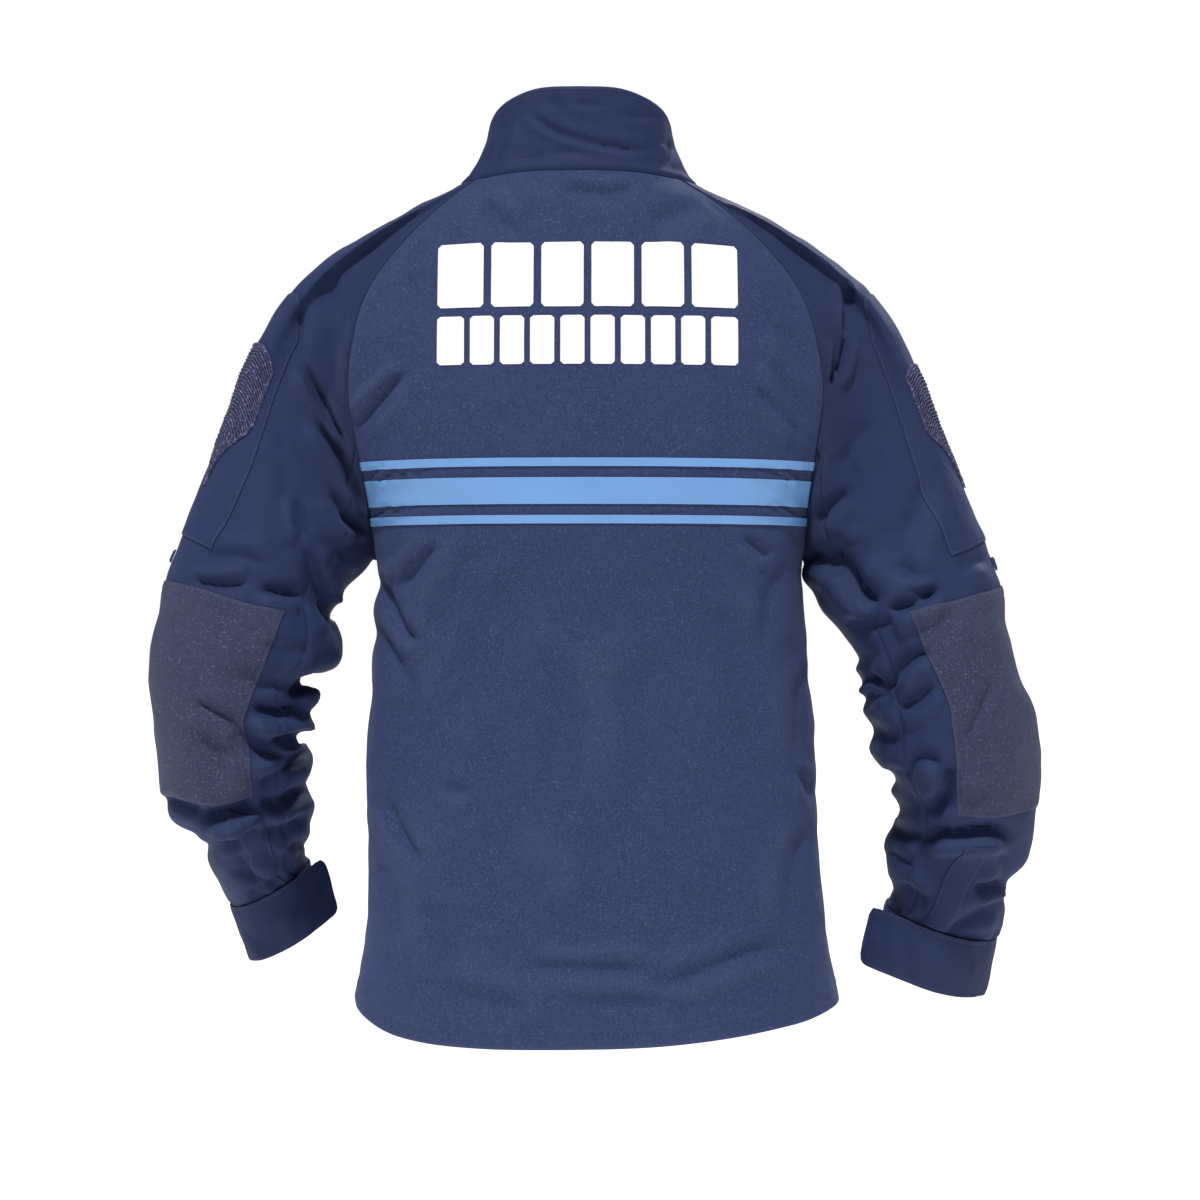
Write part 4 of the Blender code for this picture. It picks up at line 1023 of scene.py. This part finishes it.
def body_panel(face):
    low = np.unique(np.concatenate([np.linspace(0, 1, 112), FINE / 0.385, [0.0045, 0.0125, 0.035, 0.05]]))[:-1]
    high = close_to_edges(0, 1, 1 / 100, FINE[:5] / 0.34)
    spread = close_to_edges(-1, 1, 2 / 128, FINE[:5] / 0.28)
    if face == "front":
        half = spread[spread > 1e-9]
        spread = np.concatenate([-half[::-1], [-1e-4, 1e-4], half])
    z, angle = body_grid(face, low, high, spread)
    points, normals = torso(z, angle), torso_normal(z, angle)
    if face == "front":
        middle = len(spread) // 2
        closeness = smoothstep(1 - np.abs(spread) / 0.10) * smoothstep((z - ZIP_BOTTOM + 9 * MM) / (9 * MM))
        points[..., 0] -= SLIT * closeness * np.sign(spread)
    raw = points
    across = arc(points, 1)
    to_side = np.minimum(across, across[:, -1:] - across)
    down = arc(points, 0)
    to_hem, to_neck = down, down[-1] - down
    upper = z >= UNDERARM_Z - 1e-6
    fade = np.where(upper, smoothstep((to_side - 1 * MM) / (11 * MM)), 1.0)
    near_arm = np.exp(-((z - UNDERARM_Z) / (12 * MM)) ** 2) * np.exp(-(to_side / (14 * MM)) ** 2)
    fade = fade * (1 - np.where(upper, 0, near_arm)) * smoothstep(to_neck / (12 * MM))
    out = relief(points, normals, "BACK", "FRONT", 0.9, 1.9) * fade
    out += groove(to_side, 1.1, 0.5) + groove(to_neck, 1.3, 0.0)
    hem = to_hem / MM
    out += MM * (0.55 * smoothstep((19 - hem) / 2) - 0.55 * np.exp(-((hem - 10) / 1.3) ** 2)
                 - 0.55 * np.exp(-((hem - 16.5) / 1.3) ** 2))
    out += MM * 0.35 * np.sin(across / (9 * MM) + 2.0 * np.sin(across / (41 * MM))) * np.exp(-((hem - 13) / 7) ** 2)
    points = points + normals * out[..., None]
    keep = None
    if face == "front":
        keep = np.ones((len(z) - 1, len(spread) - 1), bool)
        keep[np.flatnonzero(z[:-1, middle] > ZIP_BOTTOM), middle - 1] = False
    fine_normals = grid_normals(points)
    # Lighter along the hem and the side seams for wear, plus a painted highlight on the raised crease ridges.
    wear_and_ridge_highlight = 0.9 * np.exp(-(to_hem / (2.2 * MM)) ** 2) + 0.35 * np.exp(-((to_side - 3 * MM) / (2 * MM)) ** 2) \
        + 0.35 * smoothstep(out / (2.5 * MM))
    made = sheet_mesh(face, points, points - fine_normals * KNIT, uv_of(raw), CLOTH["knit"], keep,
                      marks={"wear_and_ridge_highlight": np.clip(wear_and_ridge_highlight, 0, 1)})
    cut_size(face, raw)
    finish_piece(made, [face])
    return {"object": made, "points": points, "normals": fine_normals, "raw": raw, "z": z, "spread": spread,
            "angle": angle, "across": across, "down": down}


def row_line(body, distance_up, start=0.0, end=1.0):
    """A line along the hem at a height above it."""
    i = np.array([np.interp(distance_up, body["down"][:, j], np.arange(body["down"].shape[0]))
                  for j in range(body["down"].shape[1])])
    j = np.arange(body["down"].shape[1])
    return on_grid(body["points"], i, j), unit(on_grid(body["normals"], i, j))


def trim_grid(body, bottom, top, first, last, rows, columns):
    """A strip of a body panel between two heights at its middle and two shares across."""
    middle = body["z"].shape[1] // 2
    at = np.interp(np.linspace(bottom, top, rows) * MM, body["z"][:, middle], np.arange(body["z"].shape[0]))
    along = np.interp(np.linspace(first, last, columns), body["spread"], np.arange(len(body["spread"])))
    i, j = np.meshgrid(at, along, indexing="ij")
    return on_grid(body["points"], i, j), unit(on_grid(body["normals"], i, j))


def upright_grid(body, bottom, top, left, right, rows, columns):
    """A strip of the back between two heights and two upright lines, with corners cut off by 3 mm."""
    middle = body["z"].shape[1] // 2
    at = np.interp(np.linspace(bottom, top, rows) * MM, body["z"][:, middle], np.arange(body["z"].shape[0]))
    line = np.arange(len(body["spread"]))
    i, j = np.zeros((rows, columns)), np.zeros((rows, columns))
    for k, row in enumerate(at):
        x = on_grid(body["points"], row, line)[:, 0] * 1000
        edge = min(k, rows - 1 - k) * (top - bottom) / (rows - 1)
        cut = max(0.0, 2.6 - edge)
        cut = 2.6 - math.sqrt(max(2.6 ** 2 - cut ** 2, 0))
        j[k] = np.interp(np.linspace(left + cut, right - cut, columns), x, line)
        i[k] = row
    return on_grid(body["points"], i, j), unit(on_grid(body["normals"], i, j))


back, front = body_panel("back"), body_panel("front")
for name, (bottom, top) in BANDS.items():
    points, normals = trim_grid(back, bottom, top, -0.985, 0.985, 4 if top - bottom < 10 else 9, 220)
    made = sheet_mesh(name, points + normals * 0.95 * MM, points + normals * 0.15 * MM, uv_of(points), CLOTH["band"])
    cut_size(name, points)
    finish_piece(made, [name])
for name, (bottom, top, count) in BLOCKS.items():
    gap, pieces = (6.5 if count == 6 else 5.0), []
    ends = np.linspace(BLOCK_REACH[0], BLOCK_REACH[1], count + 1)
    for k in range(count):
        points, normals = upright_grid(back, bottom, top, ends[k] + gap / 2 * (k > 0),
                                       ends[k + 1] - gap / 2 * (k < count - 1), 20, 30 if count == 6 else 20)
        block = sheet_mesh(f"{name}_{k}", points + normals * 0.75 * MM, points + normals * 0.15 * MM,
                           uv_of(points), CLOTH["white"])
        pieces.append(block)
    with bpy.context.temp_override(active_object=pieces[0], selected_editable_objects=pieces,
                                   selected_objects=pieces, object=pieces[0]):
        bpy.ops.object.join()
    made = pieces[0]
    made.name = "film_" + name
    finish_piece(made, [name])

for body in (back, front):
    for height in (10.0, 16.5):
        stitch_line("hem_stitches", *row_line(body, height * MM), pitch=2.9, length=2.2)
hem_stitches = sew("hem_stitches", CLOTH["thread"])

# ---------------------------------------------------------------- the collar

angle = np.linspace(-180, 180, 181)
share = np.unique(np.concatenate([np.linspace(0.0, 1, 30), [0.015, 0.035, 0.06, 0.94, 0.965, 0.985]]))
share_grid, angle_grid = np.meshgrid(share, angle, indexing="ij")
base = collar(share_grid, angle_grid)
closeness = smoothstep(1 - (180 - np.abs(angle_grid)) / 12)
base[..., 0] += SLIT * closeness * np.sign(angle_grid)
normals = grid_normals(base)
body_normals = torso_normal(neckline_height(angle), angle)
up = arc(base, 0)
agree = (1 - smoothstep(up / (8 * MM)))[..., None]
normals = unit(agree * body_normals[None] + (1 - agree) * normals)
to_seam, to_top = up, up[-1] - up
out = relief(base, normals, "COLLAR", "COLLAR_FRONT", 0.9, 1.5)
out *= smoothstep(to_seam / (9 * MM)) * (0.35 + 0.65 * smoothstep(to_top / (10 * MM)))
out += groove(to_seam, 1.2, 0.9) - MM * 0.35 * np.exp(-((to_top / MM - 5.5) / 1.1) ** 2)
out -= MM * 0.9 * np.exp(-(to_top / (1.4 * MM)) ** 2)
out -= MM * 0.5 * np.exp(-((to_seam / MM - 12.5) / 1.3) ** 2)
points = base + normals * out[..., None]
normals = grid_normals(points)
thick = DOUBLED * (0.55 + 0.45 * smoothstep(to_top / (2.5 * MM)))[..., None]
# The seam's turned-in edge runs down inside the shirt and closes the gap at the neck.
down_inside = -unit(base[1] - base[0])
turned = [points[:1] + (down_inside * run - body_normals * deep)[None] * MM
          for run, deep in ((3.0, 1.6), (0.05, 1.6))]
turned_inner = [points[:1] - (normals * thick)[:1] + (down_inside * run - body_normals * 0.2)[None] * MM
                for run in (3.0, 0.1)]
seam_uv = np.concatenate([uv_of(base)[:1] - (0, 0.004), uv_of(base)[:1] - (0, 0.001), uv_of(base)])
# Lighter along the top edge for wear, plus a painted highlight on the raised crease ridges.
wear_and_ridge_highlight = np.clip(1.0 * np.exp(-(to_top / (2.0 * MM)) ** 2) + 0.3 * smoothstep(out / (2 * MM)), 0, 1)
collar_piece = sheet_mesh("collar", np.concatenate([*turned, points]),
                          np.concatenate([*turned_inner, points - normals * thick]), seam_uv, CLOTH["doubled"],
                          marks={"wear_and_ridge_highlight": np.concatenate([wear_and_ridge_highlight[:1], wear_and_ridge_highlight[:1], wear_and_ridge_highlight])}, soft=75)
cut_size("collar", base)
finish_piece(collar_piece, ["collar"])
for distance, sides in ((5.5, "b"), (12.5, "t"), (2.5, "lr")):
    for line in inside_edge(points, normals, distance * MM, sides):
        stitch_line("collar_stitches", *line)
collar_stitches = sew("collar_stitches", CLOTH["thread"])

# ---------------------------------------------------------------- the zip

seat = DOUBLED + 0.6 * MM + 0.5 * MM
collar_top = COLLAR_TOP[-1][1] * MM
at, outward, along = front_line(ZIP_BOTTOM - 8 * MM, collar_top - 1 * MM, 140)
for side, way in (("left", 1), ("right", -1)):
    across = np.array([CHAIN + 0.2 * MM, CHAIN + 1.0 * MM, SLIT, SLIT + 1 * MM, 9 * MM, 12 * MM, CHAIN + TAPE_WIDTH])
    sink = 1.1 * MM * (across / across[-1]) ** 2
    middle_line = at[:, None] + points_of(way * across, 0, 0)[None]
    level = (-seat - sink)[None, :, None] * outward[:, None]
    grid = middle_line + level
    name = f"zip_tape_{side}"
    half_thick = outward[:, None] * 0.5 * MM
    made = sheet_mesh(name, grid + half_thick, grid - half_thick, uv_of(grid), CLOTH["tape"], flip=way > 0)
    cut_size(name, grid)
    finish_piece(made, [name])
slider_low, slider_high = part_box("zip_slider")
chain_top = (slider_low.z + slider_high.z) / 2 + 3.5 * MM
at, outward, along = front_line(ZIP_BOTTOM + 1 * MM, chain_top, 400)
run = np.concatenate([[0], np.cumsum(np.linalg.norm(np.diff(at, axis=0), axis=1))])
verts, faces = [], []
ring = np.linspace(0, 2 * np.pi, 9)[:-1]
for way in (1, -1):
    count = int(run[-1] / (1.5 * MM))
    for k in range(count):
        s = (k + (0.25 if way > 0 else 0.75)) * 1.5 * MM
        if s > run[-1]:
            continue
        centre = np.array([np.interp(s, run, at[:, c]) for c in range(3)])
        out_way = unit(np.array([np.interp(s, run, outward[:, c]) for c in range(3)]))
        up_way = unit(np.array([np.interp(s, run, along[:, c]) for c in range(3)]))
        centre = centre - out_way * seat
        first = len(verts)
        for x, wide, deep in ((3.1, 0.42, 0.75), (2.6, 0.52, 1.15), (0.6, 0.50, 1.12), (-0.5, 0.46, 0.95),
                              (-0.75, 0.30, 0.55)):
            for a in ring:
                verts.append(centre + np.array([way * x * MM, 0, 0]) + up_way * wide * MM * np.cos(a)
                             + out_way * deep * MM * np.sin(a))
        for i in range(4):
            for j in range(8):
                a, b = first + i * 8 + j, first + i * 8 + (j + 1) % 8
                faces.append((a, b, b + 8, a + 8) if way > 0 else (b, a, a + 8, b + 8))
        faces.append(tuple(first + 32 + j for j in range(8))[::1 if way > 0 else -1])
        faces.append(tuple(first + j for j in range(8))[::-1 if way > 0 else 1])
mesh = bpy.data.meshes.new("zip_chain")
mesh.from_pydata([tuple(v) for v in verts], [], faces)
mesh.shade_smooth()
chain_piece = bpy.data.objects.new("zip_teeth", mesh)
bpy.context.scene.collection.objects.link(chain_piece)
mesh.materials.append(CLOTH["teeth"])
finish_piece(chain_piece, ["zip_chain"])
for name in ("zip_slider", "zip_pull"):
    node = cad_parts[name]
    node.data.materials.clear()
    node.data.materials.append(CLOTH["metal"])
    weld = node.modifiers.new("weld", "WELD")
    weld.merge_threshold = 0.00001
    bevel = node.modifiers.new("bevel", "BEVEL")
    bevel.width = 0.00028
    bevel.segments = 3
    bevel.limit_method = "ANGLE"
    bevel.angle_limit = math.radians(35)
for side, way in (("left", 1), ("right", -1)):
    body_edge = front["spread"].size // 2 + (0 if way > 0 else -1)
    rows = np.flatnonzero(front["z"][:, body_edge] > ZIP_BOTTOM)
    line, facing = [], []
    for i in rows[1:-1]:
        across = np.abs(front["across"][i] - front["across"][i, body_edge])
        columns = np.arange(front["across"].shape[1])
        half = columns >= body_edge if way > 0 else columns <= body_edge
        j = np.interp(ZIP_STITCH_FROM_EDGE, across[half][::way], columns[half][::way])
        line.append(on_grid(front["points"], i, j))
        facing.append(on_grid(front["normals"], i, j))
    stitch_line("zip_stitches", np.array(line), np.array(facing))
bottom = rows[0]
line, facing = [], []
for x in np.linspace(-9, 9, 14):
    across = front["across"][bottom] - front["across"][bottom, body_edge]
    j = np.interp(x * MM, across, np.arange(len(across)))
    line.append(on_grid(front["points"], bottom - 1.0, j))
    facing.append(on_grid(front["normals"], bottom - 1.0, j))
stitch_line("zip_stitches", np.array(line), np.array(facing))
zip_stitches = sew("zip_stitches", CLOTH["thread"])

# ---------------------------------------------------------------- the sleeves

STEP = 2.5


def around_mean(grid, wide=6):
    """The grid averaged softly around its rings."""
    offsets = np.arange(-2 * wide, 2 * wide + 1)
    weights = np.exp(-(offsets / wide) ** 2)
    return sum(w * np.roll(grid, k, axis=1) for k, w in zip(offsets, weights / weights.sum()))


def build_sleeve(side):
    way = 1 if side == "left" else -1
    angles = np.arange(FRONT_SEAM - 360, FRONT_SEAM, STEP)
    rows = np.concatenate([[0, 0.008, 0.018, 0.032], np.linspace(0.05, 1, 58), np.linspace(1, 13, 133)[1:]])
    raw = sleeve(side, angles[None, :], rows[:, None])
    # The cap runs smoothly over the corner between the neck and the raglan seam.
    rounded = around_mean(raw)
    cap = (smoothstep((rows - 0.02) / 0.25) * smoothstep((1.8 - rows) / 0.8))[:, None, None]
    raw = raw + cap * (2 * rounded - around_mean(rounded) - raw)
    normals = grid_normals(raw, closed=True) * way
    _, body_normals = armhole(side, angles)
    agree = smoothstep((0.10 - rows) / 0.10)[:, None, None]
    normals = unit(agree * body_normals[None] + (1 - agree) * normals)
    down = arc(raw, 0)
    last = down[-1] - down
    fade = smoothstep((down - 1 * MM) / (13 * MM)) * (0.25 + 0.75 * smoothstep(last / (16 * MM)))
    out = relief(raw, normals, f"{side.upper()}_SLEEVE", f"{side.upper()}_FRONT", 1.1, 1.25) * fade
    around = arc(np.concatenate([raw, raw[:, :1]], axis=1), 1)
    total = around[:, -1:]
    around = around[:, :-1]
    for seam in (BACK_SEAM, FRONT_SEAM - 360):
        j = int(round((seam - angles[0]) / STEP))
        distance = np.abs(around - around[:, j:j + 1])
        distance = np.minimum(distance, total - distance)
        out += groove(distance, 1.0, 0.45) * smoothstep(down / (4 * MM))
    out += groove(down, 1.1, 0.6)
    # Gathers where the cloth runs into the cuff.
    gathers = np.sin(np.radians(angles) * 9 + 1.3 * np.sin(np.radians(angles) * 3 + way))
    gathers = gathers * np.exp(-(last / (17 * MM)) ** 2)
    out += MM * 1.6 * gathers * smoothstep(last / (3 * MM))
    points = raw + normals * out[..., None]
    fine = grid_normals(points, closed=True) * way
    fine = unit(agree * body_normals[None] + (1 - agree) * fine)
    across = around - around[:, [int(round((0 - angles[0]) / STEP))]]
    uv = np.stack([across, np.broadcast_to(down.mean(1, keepdims=True), across.shape)], axis=-1)
    # A painted highlight on the raised crease ridges, plus lighter just below the armhole seam for wear.
    wear_and_ridge_highlight = np.clip(0.45 * smoothstep((out - 0.6 * MM) / (4 * MM))
                   + 0.35 * np.exp(-((down - 3 * MM) / (2 * MM)) ** 2), 0, 1)
    seam = int(round((BACK_SEAM - angles[0]) / STEP))
    inner = points - fine * WOVEN
    # The sleeve's end is turned in and runs down inside the cuff, so that the seam shows no light.
    axis = unit(np.array(CUFF_WAY[side], float))
    inward = raw[-1].mean(0) - raw[-1]
    inward = unit(inward - (inward @ axis)[:, None] * axis)
    turned = [raw[-1] + (inward * deep + axis * run) * MM for deep, run in ((1.7, 0.2), (1.7, 6), (3, 0.1), (3, 6))]
    shell, inner = np.concatenate([points, turned[:2]]), np.concatenate([inner, turned[2:]])
    uv = np.concatenate([uv, uv[-1:] + (0, 0.001), uv[-1:] + (0, 0.007)])
    wear_and_ridge_highlight = np.concatenate([wear_and_ridge_highlight, wear_and_ridge_highlight[-1:], wear_and_ridge_highlight[-1:]])
    wrap = lambda g: np.concatenate([g[:, seam:], g[:, :1]], axis=1)
    end_uv = uv[:, :1].copy()
    end_uv[..., 0] += np.pad(total, ((0, 2), (0, 0)), mode="edge")
    wrapped_uv = np.concatenate([uv[:, seam:], end_uv], axis=1)
    top = sheet_mesh(f"sleeve_top_{side}", shell[:, :seam + 1], inner[:, :seam + 1], uv[:, :seam + 1],
                     CLOTH["woven"], flip=way < 0, marks={"wear_and_ridge_highlight": wear_and_ridge_highlight[:, :seam + 1]})
    under = sheet_mesh(f"sleeve_under_{side}", wrap(shell), wrap(inner), wrapped_uv, CLOTH["woven"],
                       flip=way < 0, marks={"wear_and_ridge_highlight": wrap(wear_and_ridge_highlight)})
    cut_size(f"sleeve_top_{side}", raw[:, :seam + 1])
    cut_size(f"sleeve_under_{side}", wrap(raw))
    finish_piece(top, [f"sleeve_top_{side}"])
    finish_piece(under, [f"sleeve_under_{side}"])

    def places(row, angle):
        return on_grid(points, *cells(row, angle)), unit(on_grid(fine, *cells(row, angle)))

    def cells(row, angle):
        return np.interp(row, rows, np.arange(len(rows))), (np.asarray(angle) - angles[0]) / STEP

    def straight_edge(knots):
        """Angles of a patch's back edge that runs straight, as seen from behind, between its few given places."""
        given_rows, given_angles = (np.array(k, float) for k in knots)
        seen = from_behind(places(given_rows, given_angles)[0])
        order = np.argsort(seen[:, 1])
        at, turns, found = np.linspace(given_rows[0], given_rows[-1], 90), np.arange(-16, 16.1, 0.5), []
        for row in at:
            middle = np.interp(row, given_rows, given_angles)
            view = from_behind(places(np.full(len(turns), row), middle + turns)[0])
            off = view[:, 0] - np.interp(view[:, 1], seen[order, 1], seen[order, 0])
            cross = np.flatnonzero(np.sign(off[1:]) != np.sign(off[:-1]))
            nearest = cross[np.argmin(np.abs(turns[cross]))] if len(cross) else int(np.argmin(np.abs(off)))
            found.append(middle + turns[nearest])
        found = np.convolve(np.pad(found, 2, mode="edge"), [0.1, 0.22, 0.36, 0.22, 0.1], mode="valid")
        return at, found

    def sewn_on(name, row, angle, thick, material, lift, stitches, marks=None, relief_on=None):
        grid, facing = places(row, angle)
        under = grid + facing * lift
        across, down_ = arc(under, 1), arc(under, 0)
        edge = np.minimum(np.minimum(across, across[:, -1:] - across), np.minimum(down_, down_[-1] - down_))
        thickness = thick * (0.62 + 0.38 * smoothstep(edge / (1.6 * MM)))
        for d in stitches:
            thickness = thickness - 0.45 * MM * np.exp(-((edge / MM - d) / 0.9) ** 2)
        if relief_on is not None:
            thickness = thickness + relief_on
        over = under + facing * thickness[..., None]
        shown = {"wear_and_ridge_highlight": np.clip(np.exp(-(edge / (1.5 * MM)) ** 2), 0, 1), **(marks or {})}
        made = sheet_mesh(f"{name}_{side}", over, under, uv_of(under), material, flip=way < 0, marks=shown, soft=70)
        cut_size(f"{name}_{side}", under)
        finish_piece(made, [f"{name}_{side}"])
        over_normals = grid_normals(over) * way
        for d in stitches:
            for line in inside_edge(over, over_normals, d * MM):
                stitch_line(f"{name}_stitches_{side}", *line)
        return made

    made = {"top": top, "under": under}
    lines = lambda ends, count: np.linspace(*ends, count)
    row, angle = np.meshgrid(lines(POCKET["rows"], 64), lines(POCKET["angles"], 56), indexing="ij")
    made["pocket"] = sewn_on("arm_pocket", row, angle, PATCH, CLOTH["woven"], 0.35 * MM, (2.0,))
    patch = ELBOW_PATCH[side]
    down_share, share = np.meshgrid(np.linspace(0, 1, 104), np.linspace(0, 1, 84), indexing="ij")
    first = patch["angles"][0]
    angle = first + (patch["angles"][1] - first) * share
    edge = straight_edge(patch["edge"])
    for _ in range(4):
        high, low = (np.interp(angle, patch["at"], patch[key]) for key in ("top", "bottom"))
        row = high + (low - high) * down_share
        angle = first + (np.interp(row, *edge) - first) * share
    made["patch"] = sewn_on("elbow_patch", row, angle, PATCH, CLOTH["coarse"], 0.35 * MM, (2.0, 8.0))
    row, angle = np.meshgrid(lines(PLACKET[side]["rows"], 60), lines(PLACKET[side]["angles"], 22), indexing="ij")
    angle = angle + PLACKET[side]["turn"] * np.linspace(0, 1, len(angle))[:, None]
    made["placket"] = sewn_on("placket", row, angle, PATCH, CLOTH["woven"], 0.35 * MM, (1.8,))
    row, angle = np.meshgrid(lines(POCKET_TAB["rows"], 14), lines(POCKET_TAB["angles"], 14), indexing="ij")
    made["tab"] = sewn_on("pocket_tab", row, angle, 2.2 * MM, CLOTH["doubled"], 0.5 * MM, ())
    share, spread = np.meshgrid(np.linspace(0, 1, 190), np.linspace(-1, 1, 62), indexing="ij")
    narrow = 1 - smoothstep((share - SHIELD_TAPER_FROM) / (1 - SHIELD_TAPER_FROM)) * 0.93
    first, last_row = SHIELD[side]["rows"]
    row = first + (last_row - first) * share
    angle = SHIELD[side]["middle"] + SHIELD_HALF_ANGLE * narrow * spread
    grid, _ = places(row, angle)
    length = arc(grid, 0)
    sway = 0.9 * np.sin(arc(grid, 1) / (7 * MM)) + 0.6 * rumple(grid, 0.012, seed=5)
    rib = 0.5 + 0.5 * np.sin(2 * np.pi * length / (3.1 * MM) + sway)
    edge = np.minimum(1 - np.abs(spread), np.minimum(share * 2.4, (1 - share) * 2.4))
    rib = rib * smoothstep(edge / 0.10) + 0.8 * (1 - smoothstep(edge / 0.10))
    # The rib profile raises the rows and also paints shade into their troughs and a highlight on their tops.
    made["loop"] = sewn_on("loop_panel", row, angle, HOOK_AND_LOOP, CLOTH["loop"],
                               0.6 * MM + PATCH, (), marks={"rib_shade_and_highlight": rib},
                               relief_on=0.9 * MM * (rib - 0.5) + 0.35 * MM * rumple(grid, 0.004, seed=6))
    made["stitches"] = [sew(f"{name}_stitches_{side}", CLOTH["thread"])
                        for name in ("arm_pocket", "elbow_patch", "placket")]
    return made


def build_cuff(side):
    last = float(len(SLEEVES[side]))
    start = CUFF_START[side]
    angle = np.linspace(start, start + 360 + CUFF_LAP, 190)
    ring = sleeve(side, angle, last)
    centre = sleeve(side, np.arange(0, 360, 30), last).mean(0)
    axis = unit(np.array(CUFF_WAY[side], float))
    outward = unit(ring - centre)
    lift = CUFF_GROW + CUFF_LIFT * smoothstep((angle - start - 290) / 70)
    ring = ring + outward * lift[:, None]
    run = unit(ring[-1] - ring[-2])
    reach = np.linspace(0, CUFF_TAB[side], 26)[1:]
    ring = np.concatenate([ring, ring[-1] + run * reach[:, None]])
    flat_out = unit(np.cross(run, axis))
    flat_out = flat_out * np.sign((flat_out * outward[-1]).sum())
    outward = np.concatenate([outward, np.repeat(flat_out[None], len(reach), axis=0)])
    length = np.concatenate([[0], np.cumsum(np.linalg.norm(np.diff(ring, axis=0), axis=1))])
    # The free end's corners are round.
    from_end = length[-1] - length
    radius = 9 * MM
    cut = radius - np.sqrt(np.maximum(radius ** 2 - np.maximum(radius - from_end, 0) ** 2, 0))
    rows = np.unique(np.concatenate([np.linspace(0, 1, 22), [0.02, 0.045, 0.955, 0.98]]))
    tall = CUFF_HEIGHT - 0.7 * MM - 2 * cut
    height = 0.7 * MM + cut[None] + rows[:, None] * tall[None]
    base = ring[None] + axis * height[..., None]
    normals = np.repeat(outward[None], len(rows), axis=0)
    edge = np.minimum(np.minimum(height - 0.7 * MM, CUFF_HEIGHT - height), from_end[None])
    edge = np.minimum(edge, height * 0 + length[None] + 4 * MM)
    out = MM * (1.1 * rumple(base, 0.05, seed=8) + 0.5 * rumple(base, 0.018, seed=9))
    out -= MM * 0.6 * np.exp(-((edge / MM - 3.0) / 0.9) ** 2) + MM * 0.8 * np.exp(-(edge / (1.3 * MM)) ** 2)
    points = base + normals * out[..., None]
    normals = grid_normals(points)
    flip = (normals * outward[None]).sum() < 0
    if flip:
        normals = -normals
    made = sheet_mesh(f"cuff_{side}", points, points - normals * DOUBLED, uv_of(base), CLOTH["doubled"], flip=flip,
                      marks={"wear_and_ridge_highlight": np.clip(np.exp(-(edge / (1.6 * MM)) ** 2), 0, 1)}, soft=75)
    cut_size(f"cuff_{side}", base)
    finish_piece(made, [f"cuff_{side}"])
    for line in inside_edge(points, normals, 3.0 * MM):
        stitch_line(f"cuff_stitches_{side}", *line)
    return made, sew(f"cuff_stitches_{side}", CLOTH["thread"])


sleeves = {side: build_sleeve(side) for side in SLEEVES}
cuffs = {side: build_cuff(side) for side in SLEEVES}

# ---------------------------------------------------------------- the cut sizes of the cloth pieces, looked up and rounded

for side in SLEEVES:
    made = sleeves[side]
    hold(made["top"])
    hold(made["under"])
    hold(made["pocket"])
    hold(made["patch"])
    hold(made["placket"])
    hold(made["loop"])
    cuff, cuff_stitches = cuffs[side]
    hold(cuff)
    hold(bpy.data.objects[f"cloth_zip_tape_{side}"])
hold(back["object"])
hold(front["object"])
hold(collar_piece)

# ---------------------------------------------------------------- floor, light and camera

mesh = bpy.data.meshes.new("floor")
turns = np.linspace(0, 2 * np.pi, 65)[:-1]
mesh.from_pydata([(30 * math.cos(t), 30 * math.sin(t), -1.42) for t in turns], [], [tuple(range(64))])
floor = bpy.data.objects.new("floor", mesh)
bpy.context.scene.collection.objects.link(floor)
pale = bpy.data.materials.new("pale_floor")
pale.use_nodes = True
pale.node_tree.nodes["Principled BSDF"].inputs["Base Color"].default_value = (0.93, 0.93, 0.93, 1)
pale.node_tree.nodes["Principled BSDF"].inputs["Roughness"].default_value = 0.9
mesh.materials.append(pale)

scene = bpy.context.scene
scene.view_settings.view_transform = "Standard"
world = bpy.data.worlds.new("studio")
world.use_nodes = True
scene.world = world
tree = world.node_tree
background = tree.nodes["Background"]
background.inputs["Color"].default_value = (1, 1, 1, 1)
background.inputs["Strength"].default_value = 0.13
shown = tree.nodes.new("ShaderNodeBackground")
shown.inputs["Color"].default_value = (1, 1, 1, 1)
shown.inputs["Strength"].default_value = 1.0
ray, mix = tree.nodes.new("ShaderNodeLightPath"), tree.nodes.new("ShaderNodeMixShader")
tree.links.new(ray.outputs["Is Camera Ray"], mix.inputs[0])
tree.links.new(background.outputs[0], mix.inputs[1])
tree.links.new(shown.outputs[0], mix.inputs[2])
tree.links.new(mix.outputs[0], tree.nodes["World Output"].inputs["Surface"])


def lamp(name, kind, energy, place, target, **sizes):
    data = bpy.data.lights.new(name, kind)
    data.energy = energy
    for key, value in sizes.items():
        setattr(data, key, value)
    made = bpy.data.objects.new(name, data)
    made.location = place
    made.rotation_euler = (Vector(target) - Vector(place)).to_track_quat("-Z", "Y").to_euler()
    scene.collection.objects.link(made)


lamp("key", "SUN", 3.2, (0.35, 1.5, 2.3), (0, 0, -0.35), angle=math.radians(7))
lamp("front", "SUN", 1.6, (-0.9, -2.2, 1.8), (0, 0, -0.35), angle=math.radians(12))

camera = bpy.data.objects.new("camera", bpy.data.cameras.new("camera"))
camera.data.lens = 76.1
camera.data.sensor_width = 36
camera.location = CAMERA
camera.rotation_euler = (math.radians(90), 0, math.radians(180))
camera.data.clip_end = 100
scene.collection.objects.link(camera)
scene.camera = camera

print("CUTS", {k: tuple(round(v, 4) for v in c) for k, c in CUTS.items()})
